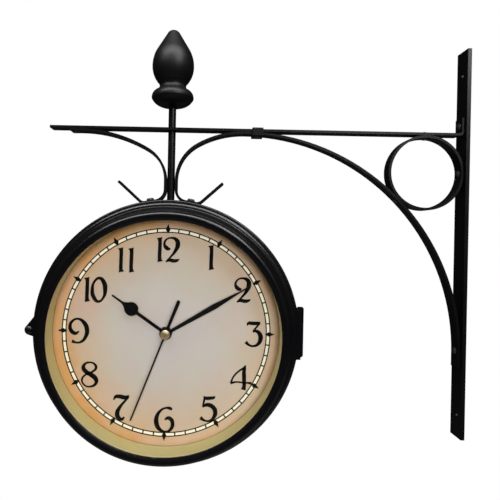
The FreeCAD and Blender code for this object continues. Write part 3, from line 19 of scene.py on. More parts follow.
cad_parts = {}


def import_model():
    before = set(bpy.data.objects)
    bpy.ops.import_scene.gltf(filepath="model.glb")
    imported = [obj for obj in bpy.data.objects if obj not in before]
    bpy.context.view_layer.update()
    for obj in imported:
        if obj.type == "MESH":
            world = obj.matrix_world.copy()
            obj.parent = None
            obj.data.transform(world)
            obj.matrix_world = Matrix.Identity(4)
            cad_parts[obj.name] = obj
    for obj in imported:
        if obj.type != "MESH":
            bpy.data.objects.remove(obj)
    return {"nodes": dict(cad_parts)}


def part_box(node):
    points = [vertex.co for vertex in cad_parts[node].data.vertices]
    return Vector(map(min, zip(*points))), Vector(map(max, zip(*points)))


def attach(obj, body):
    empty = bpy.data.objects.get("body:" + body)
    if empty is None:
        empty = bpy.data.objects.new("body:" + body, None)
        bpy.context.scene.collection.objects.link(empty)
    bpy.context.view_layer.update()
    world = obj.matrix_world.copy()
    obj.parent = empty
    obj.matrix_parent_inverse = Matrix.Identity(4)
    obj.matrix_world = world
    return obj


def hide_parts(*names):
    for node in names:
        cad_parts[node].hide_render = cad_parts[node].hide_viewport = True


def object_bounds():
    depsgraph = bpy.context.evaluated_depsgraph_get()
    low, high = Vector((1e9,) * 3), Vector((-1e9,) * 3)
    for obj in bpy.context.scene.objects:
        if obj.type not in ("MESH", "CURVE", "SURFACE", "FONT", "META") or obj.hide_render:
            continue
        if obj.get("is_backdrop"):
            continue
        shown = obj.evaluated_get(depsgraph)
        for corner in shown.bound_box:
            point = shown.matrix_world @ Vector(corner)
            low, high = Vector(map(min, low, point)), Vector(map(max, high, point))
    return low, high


log = logging.getLogger("station_clock")

MM = 0.001
PHOTO_SIDE = 500
WHITE = (1.0, 1.0, 1.0)
PAINT_RELIEF = 0.2 * MM
GRAIN_RELIEF = 0.1 * MM
CREASE_RELIEF = 0.6 * MM
NOISE_ROUGHNESS = 0.55
Number = Union[int, float]
Colour = tuple[float, float, float]
Place = tuple[float, float, float]


def linear(red: int, green: int, blue: int) -> Colour:
    """Turns a display colour, from 0 to 255, into the linear one that shaders use."""
    shades = [value / 255 for value in (red, green, blue)]
    return tuple(s / 12.92 if s <= 0.04045 else ((s + 0.055) / 1.055) ** 2.4 for s in shades)


class Side(Enum):
    """The two faces of the clock, by the node prefix and the way each looks along Y."""

    FRONT = ("front", -1.0)
    REAR = ("rear", 1.0)

    @property
    def prefix(self) -> str:
        """The start of this face's node names."""
        return self.value[0]

    @property
    def outward(self) -> float:
        """The sign of this face's outward direction along Y."""
        return self.value[1]

    @property
    def body(self) -> str:
        """The body that carries this face."""
        return "door" if self is Side.FRONT else "bracket"


# ------------------------------------------------------------------ shader maths
class Wire:
    """A shader socket that adds maths nodes when it stands in a Python expression."""

    def __init__(self, graph: "Graph", socket: bpy.types.NodeSocket) -> None:
        """Wraps a socket of a graph."""
        self.graph = graph
        self.socket = socket

    def _maths(self, operation: str, *values: "Value") -> "Wire":
        """One Math node on the values."""
        return self.graph.node("ShaderNodeMath", {"operation": operation}, dict(enumerate(values)))

    def __add__(self, other: "Value") -> "Wire":
        """Adds."""
        return self._maths("ADD", self, other)

    __radd__ = __add__

    def __sub__(self, other: "Value") -> "Wire":
        """Subtracts."""
        return self._maths("SUBTRACT", self, other)

    def __rsub__(self, other: "Value") -> "Wire":
        """Subtracts this wire from a value."""
        return self._maths("SUBTRACT", other, self)

    def __mul__(self, other: "Value") -> "Wire":
        """Multiplies."""
        return self._maths("MULTIPLY", self, other)

    __rmul__ = __mul__

    def __truediv__(self, other: "Value") -> "Wire":
        """Divides."""
        return self._maths("DIVIDE", self, other)

    def __pow__(self, other: "Value") -> "Wire":
        """Raises to a power."""
        return self._maths("POWER", self, other)

    def size(self) -> "Wire":
        """The value without its sign."""
        return self._maths("ABSOLUTE", self)

    def clamped(self) -> "Wire":
        """Keeps the value between 0 and 1."""
        return self.graph.node("ShaderNodeClamp", {}, {"Value": self})

    def beside(self, output: str) -> "Wire":
        """Another output of the same node."""
        return Wire(self.graph, self.socket.node.outputs[output])


Value = Union[Wire, Number, Sequence[float]]


class Graph:
    """The node tree of a material or of the world, built one node at a time."""

    def __init__(self, owner: Union[bpy.types.Material, bpy.types.World]) -> None:
        """Starts an empty tree.

        Args:
            owner: The material or world that the tree belongs to.
        """
        owner.use_nodes = True
        self.owner = owner
        self.tree = owner.node_tree
        self.tree.nodes.clear()

    def add(self, kind: str, settings: dict, inputs: dict) -> bpy.types.Node:
        """Adds a node.

        Args:
            kind: The node's type.
            settings: Its settings, set before its sockets. A ramp's stops are under "stops".
            inputs: Values or wires by socket name or place.

        Returns:
            The node.
        """
        made = self.tree.nodes.new(kind)
        for name, setting in settings.items():
            if name == "stops":
                self._set_stops(made.color_ramp, setting)
            else:
                setattr(made, name, setting)
        for name, value in inputs.items():
            socket = made.inputs[name]
            if isinstance(value, Wire):
                self.tree.links.new(value.socket, socket)
            elif isinstance(value, (tuple, list)) and socket.type == "RGBA":
                socket.default_value = (*value[:3], 1.0)
            else:
                socket.default_value = value
        return made

    def node(self, kind: str, settings: dict, inputs: dict, output: Union[int, str] = 0) -> Wire:
        """Adds a node and takes the wire from one of its outputs."""
        return Wire(self, self.add(kind, settings, inputs).outputs[output])

    @staticmethod
    def _set_stops(ramp: bpy.types.ColorRamp, stops: Sequence[tuple[float, Colour]]) -> None:
        """Gives a colour ramp its stops.

        Args:
            ramp: The ramp.
            stops: Places from 0 to 1 with their colours.
        """
        while len(ramp.elements) < len(stops):
            ramp.elements.new(1.0)
        for element, (place, colour) in zip(ramp.elements, stops):
            element.position = place
            element.color = (*colour, 1.0)

    def place(self) -> Wire:
        """The point on the piece, in the part's own metres."""
        return self.node("ShaderNodeTexCoord", {}, {}, "Object")

    def noise(self, scale: float, detail: float = 3.0) -> Wire:
        """Soft noise from 0 to 1, with so many blotches per metre."""
        return self.node("ShaderNodeTexNoise", {}, {"Vector": self.place(), "Scale": scale,
                                                    "Detail": detail, "Roughness": NOISE_ROUGHNESS})

    def depth(self) -> Wire:
        """How far the point lies from the drum's middle plane, in metres."""
        return self.node("ShaderNodeSeparateXYZ", {}, {0: self.place()}, "Y").size()

    def from_axis(self, centre: Vector) -> tuple[Wire, Wire, Wire]:
        """Distance from the clock's axis, and the two offsets from it.

        Args:
            centre: A point on the axis, which runs along Y.

        Returns:
            The distance, the offset in X and the offset in Z.
        """
        spot = self.node("ShaderNodeVectorMath", {"operation": "SUBTRACT"},
                         {0: self.place(), 1: tuple(centre)})
        across = self.node("ShaderNodeSeparateXYZ", {}, {0: spot}, "X")
        up = across.beside("Z")
        return (across * across + up * up) ** 0.5, across, up

    def mix(self, share: Value, first: Value, second: Value) -> Wire:
        """Blends two colours.

        Args:
            share: The second colour's share, from 0 to 1.
            first: The colour at 0.
            second: The colour at 1.

        Returns:
            The blend.
        """
        factor, colour_a, colour_b, blend = 0, 6, 7, 2
        return self.node("ShaderNodeMix", {"data_type": "RGBA"},
                         {factor: share, colour_a: first, colour_b: second}, blend)

    def ramp(self, share: Wire, stops: Sequence[tuple[float, Colour]]) -> Wire:
        """A colour that changes with a value."""
        return self.node("ShaderNodeValToRGB", {"stops": stops}, {"Fac": share})

    def bump(self, height: Wire, strength: float, depth: float) -> Wire:
        """A bumped normal, where a height of 1 stands for the depth in metres."""
        return self.node("ShaderNodeBump", {}, {"Height": height, "Strength": strength,
                                                "Distance": depth})

    def unless_seen(self, unseen: Wire, seen: Wire) -> Wire:
        """One shader for light and mirrored views, and another for the camera."""
        camera = self.node("ShaderNodeLightPath", {}, {}, "Is Camera Ray")
        return self.node("ShaderNodeMixShader", {}, {0: camera, 1: unseen, 2: seen})

    def close(self, shader: Wire, output: str = "ShaderNodeOutputMaterial") -> None:
        """Links a shader to the tree's output node."""
        self.add(output, {}, {"Surface": shader})

    def finish(self, **sockets: Value) -> bpy.types.Material:
        """Closes a material with a Principled shader.

        Args:
            sockets: Values by socket name, with underscores for spaces.

        Returns:
            The material.
        """
        values = {name.replace("_", " "): value for name, value in sockets.items()}
        self.close(self.node("ShaderNodeBsdfPrincipled", {}, values))
        return self.owner


def material(name: str) -> Graph:
    """Starts an empty material of the given name."""
    return Graph(bpy.data.materials.new(name))


def tinted(colour: Colour, factor: float) -> Colour:
    """A lighter or darker shade of a colour."""
    return tuple(min(part * factor, 1.0) for part in colour)


# ------------------------------------------------------------------ finishes
@dataclass(frozen=True)
class StripPaint:
    """Satin black paint on bent strip: nearly smooth, with slow waves and a fine grain."""

    name: str = "strip_paint"
    colour: Colour = linear(5, 5, 6)
    roughness: float = 0.22
    shine: float = 0.36
    waves_per_metre: float = 60.0
    grain_per_metre: float = 700.0

    def build(self) -> bpy.types.Material:
        """Makes the material.

        Returns:
            The material.
        """
        graph = material(self.name)
        slow = graph.noise(self.waves_per_metre)
        grain = graph.noise(self.grain_per_metre, 2.0)
        shade = graph.mix(slow * 0.35, self.colour, tinted(self.colour, 1.8))
        return graph.finish(Base_Color=shade, Roughness=self.roughness + slow * 0.14 + grain * 0.05,
                            Specular_IOR_Level=self.shine,
                            Normal=graph.bump(grain * 0.3 + slow * 0.7, 0.04, PAINT_RELIEF))


@dataclass(frozen=True)
class DrumPaint:
    """Gloss black paint on spun sheet: bright on its beads, with the slow waves of spinning."""

    centre: Vector
    name: str = "drum_paint"
    colour: Colour = linear(4, 4, 5)
    roughness: float = 0.24
    shine: float = 0.5
    rings_per_metre: float = 160.0
    waves_per_metre: float = 35.0

    def build(self) -> bpy.types.Material:
        """Makes the material.

        Returns:
            The material.
        """
        graph = material(self.name)
        reach, _, _ = graph.from_axis(self.centre)
        rings = graph.node("ShaderNodeTexNoise", {"noise_dimensions": "1D"},
                           {"W": reach * self.rings_per_metre, "Scale": 1.0, "Detail": 1.0})
        slow = graph.noise(self.waves_per_metre)
        shade = graph.mix(slow * 0.4, self.colour, tinted(self.colour, 2.0))
        return graph.finish(Base_Color=shade, Roughness=self.roughness + slow * 0.08,
                            Specular_IOR_Level=self.shine,
                            Normal=graph.bump(rings * 0.4 + slow * 0.6, 0.03, PAINT_RELIEF))


@dataclass(frozen=True)
class DialPrint:
    """Aged dial card: grey beige in the middle, tan and orange to its edge, a painted brown shadow
    of the rim along its edge that is darkest at the upper right, and plain grey board on the side
    that faces into the drum."""

    centre: Vector
    reach: float
    back: float
    thickness: float
    name: str = "dial_paper"
    middle: Colour = linear(194, 188, 190)
    body: Colour = linear(196, 186, 176)
    warm: Colour = linear(204, 174, 146)
    edge: Colour = linear(206, 152, 92)
    # painted shadow: the brown that the rim's shadow on the dial's edge is painted in
    burnt: Colour = linear(126, 74, 32)
    rose: Colour = linear(206, 174, 166)
    moss: Colour = linear(186, 190, 160)
    fibres: Colour = linear(150, 140, 118)
    board: Colour = linear(150, 146, 138)
    clouds_per_metre: float = 24.0
    blotches_per_metre: float = 60.0
    fibres_per_metre: float = 700.0
    rose_per_metre: float = 30.0
    moss_per_metre: float = 41.0
    roughness: float = 0.62

    def build(self) -> bpy.types.Material:
        """Makes the material.

        Returns:
            The material.
        """
        graph = material(self.name)
        distance, across, up = graph.from_axis(self.centre)
        cloud = graph.noise(self.clouds_per_metre, 4.0)
        blotch = graph.noise(self.blotches_per_metre)
        fibre = graph.noise(self.fibres_per_metre, 2.0)
        share = ((distance - across * 0.12) / self.reach + (cloud - 0.5) * 0.46
                 + (blotch - 0.5) * 0.14)
        paper = graph.ramp(share.clamped(), [(0.0, self.middle), (0.50, self.body),
                                             (0.84, self.warm), (1.0, self.edge)])
        rose = ((graph.noise(self.rose_per_metre, 2.0) - 0.45) * 2.4).clamped()
        moss = ((graph.noise(self.moss_per_metre) - 0.52) * 3.0).clamped()
        mossy = graph.mix(moss * 0.50, graph.mix(rose * 0.55, paper, self.rose), self.moss)
        # painted shadow of the rim: a brown band at the dial's edge, strongest towards the upper
        # right where the rim shades the dial
        shadow_side = ((across * 0.95 + up * 0.55) / self.reach).clamped() * 0.85 + 0.15
        rim = ((distance / self.reach - 0.925) * 22.0 + (cloud - 0.5) * 0.5).clamped()
        shadowed = graph.mix(rim * shadow_side * 0.6, mossy, self.burnt)
        tone = graph.mix((fibre * 0.14 + blotch * 0.08).clamped(), shadowed, self.fibres)
        board = graph.mix(blotch * 0.5, self.board, tinted(self.board, 0.7))
        outside = (((graph.depth() - self.back) / self.thickness - 0.5) * 8.0).clamped()
        card = graph.mix(outside, board, tone)
        return graph.finish(Base_Color=card, Roughness=self.roughness + fibre * 0.15,
                            Normal=graph.bump(fibre, 0.08, GRAIN_RELIEF))


@dataclass(frozen=True)
class RingEnamel:
    """The olive cream wall round the dial: lighter at the glass, dark where it meets the dial."""

    depth: float
    height: float
    name: str = "ring_enamel"
    base: Colour = linear(212, 196, 136)
    light: Colour = linear(214, 214, 158)
    lip: Colour = linear(226, 220, 176)
    joint: Colour = linear(92, 74, 44)
    clouds_per_metre: float = 34.0
    grain_per_metre: float = 420.0
    roughness: float = 0.36

    def build(self) -> bpy.types.Material:
        """Makes the material.

        Returns:
            The material.
        """
        graph = material(self.name)
        cloud = graph.noise(self.clouds_per_metre, 4.0)
        fine = graph.noise(self.grain_per_metre, 2.0)
        rise = (graph.depth() - self.depth) / self.height
        shade = graph.mix((cloud * 1.6 - 0.3).clamped(), self.base, self.light)
        soft = graph.mix(fine * 0.18, shade, tinted(self.base, 0.75))
        bright = graph.mix(((rise - 0.86) * 9.0).clamped(), soft, self.lip)
        tone = graph.mix(((0.07 - rise) * 16.0).clamped(), bright, self.joint)
        return graph.finish(Base_Color=tone, Roughness=self.roughness + fine * 0.12,
                            Normal=graph.bump(fine, 0.1, GRAIN_RELIEF))


@dataclass(frozen=True)
class Ink:
    """A flat print on the dial, uneven as ink on paper is."""

    name: str
    colour: Colour
    unevenness: float = 0.25
    patches_per_metre: float = 300.0
    roughness: float = 0.6
    shine: float = 0.2

    def build(self) -> bpy.types.Material:
        """Makes the material.

        Returns:
            The material.
        """
        graph = material(self.name)
        patch = graph.noise(self.patches_per_metre)
        shade = graph.mix(patch * self.unevenness, self.colour, tinted(self.colour, 1.6))
        return graph.finish(Base_Color=shade, Roughness=self.roughness + patch * 0.2,
                            Specular_IOR_Level=self.shine)


@dataclass(frozen=True)
class Lacquer:
    """Black lacquer on thin sheet, with a soft sheen and, on a minute hand, a pressed crease."""

    name: str = "hand_lacquer"
    colour: Colour = linear(6, 6, 7)
    centre: Vector = Vector()
    creased: bool = False
    turn: float = math.radians(59.5)
    half_width: float = 2.0 * MM
    streaks_per_metre: float = 400.0
    roughness: float = 0.36
    shine: float = 0.35

    def build(self) -> bpy.types.Material:
        """Makes the material.

        Returns:
            The material.
        """
        graph = material(self.name)
        streak = graph.noise(self.streaks_per_metre, 2.0)
        shade = graph.mix(streak * 0.4, self.colour, tinted(self.colour, 2.0))
        height, strength = streak * 0.1, 0.1
        if self.creased:
            _, across, up = graph.from_axis(self.centre)
            aside = (across * math.cos(self.turn) - up * math.sin(self.turn)).size()
            height, strength = height + (1.0 - aside / self.half_width).clamped(), 0.9
        return graph.finish(Base_Color=shade, Roughness=self.roughness + streak * 0.14,
                            Specular_IOR_Level=self.shine,
                            Normal=graph.bump(height, strength, CREASE_RELIEF))


@dataclass(frozen=True)
class Metal:
    """Bare metal with turning marks."""

    name: str
    colour: Colour
    roughness: float = 0.25
    marks_per_metre: float = 1500.0
    stains_per_metre: float = 160.0

    def build(self) -> bpy.types.Material:
        """Makes the material.

        Returns:
            The material.
        """
        graph = material(self.name)
        marks = graph.noise(self.marks_per_metre, 2.0)
        stain = graph.noise(self.stains_per_metre)
        shade = graph.mix(stain * 0.5, self.colour, tinted(self.colour, 0.6))
        return graph.finish(Base_Color=shade, Metallic=1.0, Roughness=self.roughness + marks * 0.15,
                            Normal=graph.bump(marks, 0.1, GRAIN_RELIEF))


@dataclass(frozen=True)
class Moulding:
    """Moulded plastic or rubber with a fine eroded grain."""

    name: str
    colour: Colour
    roughness: float = 0.45
    grain_per_metre: float = 1400.0
    waves_per_metre: float = 90.0

    def build(self) -> bpy.types.Material:
        """Makes the material.

        Returns:
            The material.
        """
        graph = material(self.name)
        grain = graph.noise(self.grain_per_metre, 2.0)
        wash = graph.noise(self.waves_per_metre, 2.0)
        shade = graph.mix(wash * 0.4, self.colour, tinted(self.colour, 1.8))
        return graph.finish(Base_Color=shade, Roughness=self.roughness + grain * 0.15,
                            Normal=graph.bump(grain, 0.25, GRAIN_RELIEF))


@dataclass(frozen=True)
class ClearGlass:
    """The flat dial glass: clear, with a faint reflection that a trace of dust dulls."""

    name: str = "dial_glass"
    index: float = 1.45
    tint: Colour = (0.98, 0.985, 0.98)
    dust_per_metre: float = 220.0

    def build(self) -> bpy.types.Material:
        """Makes the material.

        Returns:
            The material.
        """
        graph = material(self.name)
        dust = graph.noise(self.dust_per_metre)
        clear = graph.node("ShaderNodeBsdfTransparent", {}, {"Color": self.tint})
        shine = graph.node("ShaderNodeBsdfAnisotropic", {}, {
            "Color": WHITE, "Roughness": 0.03 + dust * 0.04})
        edge = graph.node("ShaderNodeFresnel", {}, {"IOR": self.index})
        both = graph.node("ShaderNodeMixShader", {}, {0: (edge * 0.7 + dust * 0.004).clamped(),
                                                      1: clear, 2: shine})
        graph.close(both)
        return graph.owner


# ------------------------------------------------------------------ small mesh tools
def choose(*pieces: bpy.types.Object) -> None:
    """Selects these objects alone and makes the first one active.

    Args:
        pieces: The objects.
    """
    bpy.ops.object.select_all(action="DESELECT")
    for piece in pieces:
        piece.select_set(True)
    bpy.context.view_layer.objects.active = pieces[0]


def settle(piece: bpy.types.Object, move: Matrix = Matrix.Identity(4)) -> None:
    """Moves a piece's mesh into its place and leaves its object at the origin."""
    piece.data.transform(move @ piece.matrix_world)
    piece.matrix_world = Matrix.Identity(4)


def join(pieces: Sequence[bpy.types.Object], name: str) -> bpy.types.Object:
    """Joins mesh objects.

    Args:
        pieces: Two objects or more.
        name: The name of the whole.

    Returns:
        The first object, which the others have become part of.
    """
    choose(*pieces)
    bpy.ops.object.join()
    pieces[0].name = pieces[0].data.name = name
    return pieces[0]


def modify(piece: bpy.types.Object, kind: str, **settings: Union[Number, str]) -> None:
    """Adds a modifier to a piece and applies it.

    Args:
        piece: The mesh object.
        kind: The modifier's type.
        settings: Its settings by name.
    """
    choose(piece)
    modifier = piece.modifiers.new(kind, kind)
    for name, setting in settings.items():
        setattr(modifier, name, setting)
    bpy.ops.object.modifier_apply(modifier=modifier.name)


@contextmanager
def editing(piece: bpy.types.Object) -> Iterator[None]:
    """Opens a piece's mesh in edit mode for the length of a with block.

    Args:
        piece: The mesh object.

    Yields:
        Nothing.
    """
    choose(piece)
    bpy.ops.object.mode_set(mode="EDIT")
    yield
    bpy.ops.object.mode_set(mode="OBJECT")


def thicken(piece: bpy.types.Object, thickness: float) -> None:
    """Gives a flat print its thickness, towards the side that it faces."""
    modify(piece, "SOLIDIFY", thickness=thickness, offset=1.0)


def dress(piece: bpy.types.Object, finish: bpy.types.Material) -> None:
    """Gives a piece one finish all over.

    Args:
        piece: The object.
        finish: Its material.
    """
    piece.data.materials.clear()
    piece.data.materials.append(finish)
    log.info("%s: %s, %d faces", piece.name, finish.name, len(piece.data.polygons))


# ------------------------------------------------------------------ numerals
@dataclass(frozen=True)
class Stroke:
    """One pen stroke of a numeral: (right, up, width) in millimetres from its middle."""

    points: tuple[Place, ...]
    closed: bool = False


ONE = (Stroke(((-0.4, 9.1, 3.9), (-0.05, 7.5, 2.7), (0.0, 0.0, 2.6), (0.05, -7.5, 2.7),
               (0.4, -9.1, 3.9))),)
TWO = (
    Stroke(((-1.0, 0.3, 1.6), (-3.6, 1.2, 2.8), (-5.5, 4.2, 1.8), (-4.1, 7.6, 1.3),
            (-0.3, 9.0, 1.4), (3.7, 7.4, 2.8), (4.6, 3.7, 3.2), (2.7, -1.0, 2.3),
            (-0.7, -5.4, 1.4), (-3.6, -8.6, 1.2))),
    Stroke(((-4.3, -9.1, 1.0), (-1.6, -7.8, 2.3), (1.9, -8.3, 2.5), (4.5, -7.8, 1.9),
            (6.0, -6.8, 0.6))))
THREE = (
    Stroke(((-4.9, 6.4, 0.8), (-4.1, 8.0, 2.1), (-0.7, 8.1, 2.5), (3.1, 8.3, 2.2),
            (4.9, 9.0, 1.0))),
    Stroke(((4.5, 8.4, 1.6), (2.1, 5.3, 1.3), (-0.1, 2.4, 1.2))),
    Stroke(((-0.6, 1.9, 1.4), (2.2, 2.3, 2.2), (4.9, -0.3, 3.1), (5.2, -4.3, 3.0),
            (2.8, -8.0, 2.0), (-1.0, -9.0, 1.5), (-4.1, -7.7, 1.8), (-5.8, -6.0, 2.4))))
FOUR = (
    Stroke(((3.5, 9.3, 0.8), (2.6, 7.4, 2.3), (2.4, -0.5, 2.8), (2.4, -7.6, 2.6),
            (2.0, -9.2, 3.7))),
    Stroke(((2.6, 7.6, 1.6), (-1.9, 4.7, 1.3), (-5.6, 0.6, 1.2), (-7.7, -4.3, 1.3))),
    Stroke(((-7.8, -4.4, 1.7), (-4.0, -3.4, 1.2), (1.5, -3.7, 1.2), (5.2, -3.9, 1.3),
            (8.0, -4.2, 2.1))))
FIVE = (
    Stroke(((-3.8, 9.4, 0.9), (-2.3, 8.3, 2.3), (1.8, 8.3, 2.4), (4.0, 8.7, 1.9), (5.0, 9.6, 0.7))),
    Stroke(((-2.9, 8.2, 1.5), (-3.5, 5.1, 1.4), (-4.2, 1.4, 1.3))),
    Stroke(((-4.2, 1.6, 1.4), (-1.3, 3.1, 2.6), (2.7, 2.1, 3.0), (5.2, -1.6, 3.1),
            (4.4, -5.9, 2.6), (1.4, -8.8, 1.6), (-2.7, -8.7, 1.4), (-6.0, -6.6, 2.6))))
SIX = (Stroke(((5.7, 7.7, 1.2), (4.2, 8.7, 2.2), (0.6, 8.9, 1.4), (-3.4, 6.5, 1.9),
               (-5.9, 1.6, 2.9), (-5.6, -3.8, 3.2), (-3.0, -7.6, 2.4), (1.1, -9.0, 1.5),
               (4.9, -7.0, 2.2), (6.2, -2.5, 2.7), (4.7, 0.7, 2.7), (2.5, 1.4, 2.3),
               (0.2, 0.0, 0.9))),)
SEVEN = (
    Stroke(((-5.7, 5.4, 0.8), (-4.0, 7.9, 2.3), (-1.0, 8.1, 2.8), (2.9, 7.5, 2.8),
            (6.2, 9.0, 1.0))),
    Stroke(((5.7, 7.9, 1.5), (2.2, 3.9, 1.6), (-1.2, -0.6, 2.4), (-2.7, -4.7, 3.2),
            (-1.4, -8.1, 2.9), (1.1, -8.9, 2.1), (2.7, -7.2, 1.1))))
EIGHT = (Stroke(((-4.7, 5.1, 2.8), (-2.5, 2.0, 3.0), (1.2, -0.1, 3.2), (4.5, -2.8, 3.2),
                 (5.0, -6.2, 2.3), (0.5, -9.1, 1.3), (-4.4, -7.3, 1.2), (-5.6, -3.5, 1.4),
                 (-2.9, -0.1, 1.3), (1.9, 2.1, 1.4), (4.8, 5.4, 1.9), (3.1, 8.4, 1.4),
                 (-0.1, 9.2, 1.2), (-3.6, 8.0, 1.8)), True),)
NINE = (Stroke(((0.3, -0.4, 0.9), (-2.3, -2.0, 2.3), (-5.3, -0.5, 2.7), (-6.6, 3.5, 2.4),
                (-4.7, 7.3, 1.8), (-0.7, 8.9, 1.5), (3.7, 6.4, 2.7), (6.3, 0.9, 3.2),
                (5.3, -4.5, 2.5), (2.1, -8.3, 1.7), (-1.7, -9.0, 1.4), (-5.0, -7.9, 2.3))),)
NOUGHT = (Stroke(((4.8, 0.0, 3.0), (3.7, 5.7, 3.0), (0.4, 8.8, 2.2), (-3.4, 6.0, 1.6),
                  (-4.9, 0.0, 2.4), (-3.7, -5.7, 2.8), (-0.3, -8.9, 1.9), (3.5, -6.0, 1.7)), True),)


@dataclass
class DialNumerals:
    """The hours 1 to 12 in a high-contrast pen hand, upright round the dial."""

    ring: float = 66.0 * MM
    pair_ring: float = 62.4 * MM
    thickness: float = 0.05 * MM
    smoothness: int = 8
    weight: float = 1.1
    digits: tuple[tuple[Stroke, ...], ...] = (NOUGHT, ONE, TWO, THREE, FOUR, FIVE, SIX, SEVEN,
                                              EIGHT, NINE)
    spread: dict[int, tuple[float, float]] = field(default_factory=lambda: {
        10: (-6.2, 2.6), 11: (-3.9, 3.9), 12: (-6.0, 2.9)})

    def build(self, name: str) -> bpy.types.Object:
        """Draws all twelve hours in the dial's own frame.

        Args:
            name: The object's name.

        Returns:
            A mesh with X to the right, Y up and Z towards the viewer.
        """
        pen = self._pen()
        ribbons = []
        for hour in range(1, 13):
            angle = math.radians(30 * hour)
            ring = self.pair_ring if hour > 9 else self.ring
            middle = Vector((math.sin(angle), math.cos(angle))) * ring
            shifts = self.spread.get(hour, (0.0,))
            for digit, shift in zip(str(hour), shifts):
                for stroke in self.digits[int(digit)]:
                    ribbons.append(self._ribbon(stroke, middle + Vector((shift * MM, 0.0)), pen))
        numerals = join(ribbons, name)
        bpy.data.objects.remove(pen)
        thicken(numerals, self.thickness)
        settle(numerals, Matrix.Translation((0.0, 0.0, self.thickness / 2)))
        return numerals

    @staticmethod
    def _pen() -> bpy.types.Object:
        """The flat pen that the strokes are drawn with.

        Returns:
            A straight curve one millimetre long.
        """
        bpy.ops.curve.primitive_bezier_curve_add()
        pen = bpy.context.object
        for point, place in zip(pen.data.splines[0].bezier_points, (-0.5, 0.5)):
            point.handle_left_type = point.handle_right_type = "VECTOR"
            point.co = (place * MM, 0.0, 0.0)
        pen.data.resolution_u = 1
        return pen

    def _ribbon(self, stroke: Stroke, middle: Vector, pen: bpy.types.Object) -> bpy.types.Object:
        """Sweeps the pen along one stroke.

        Args:
            stroke: The stroke.
            middle: The numeral's middle on the dial.
            pen: The pen's line.

        Returns:
            A flat mesh ribbon.
        """
        bpy.ops.curve.primitive_bezier_curve_add()
        path = bpy.context.object
        spline = path.data.splines[0]
        spline.bezier_points.add(len(stroke.points) - 2)
        for point, (right, up, width) in zip(spline.bezier_points, stroke.points):
            point.co = (middle.x + right * MM, middle.y + up * MM, 0.0)
            point.handle_left_type = point.handle_right_type = "AUTO"
            point.radius = width * self.weight
        spline.use_cyclic_u = stroke.closed
        spline.radius_interpolation = "CARDINAL"
        path.data.resolution_u = self.smoothness
        path.data.twist_mode = "Z_UP"
        path.data.bevel_mode = "OBJECT"
        path.data.bevel_object = pen
        choose(path)
        bpy.ops.object.convert(target="MESH")
        return bpy.context.object


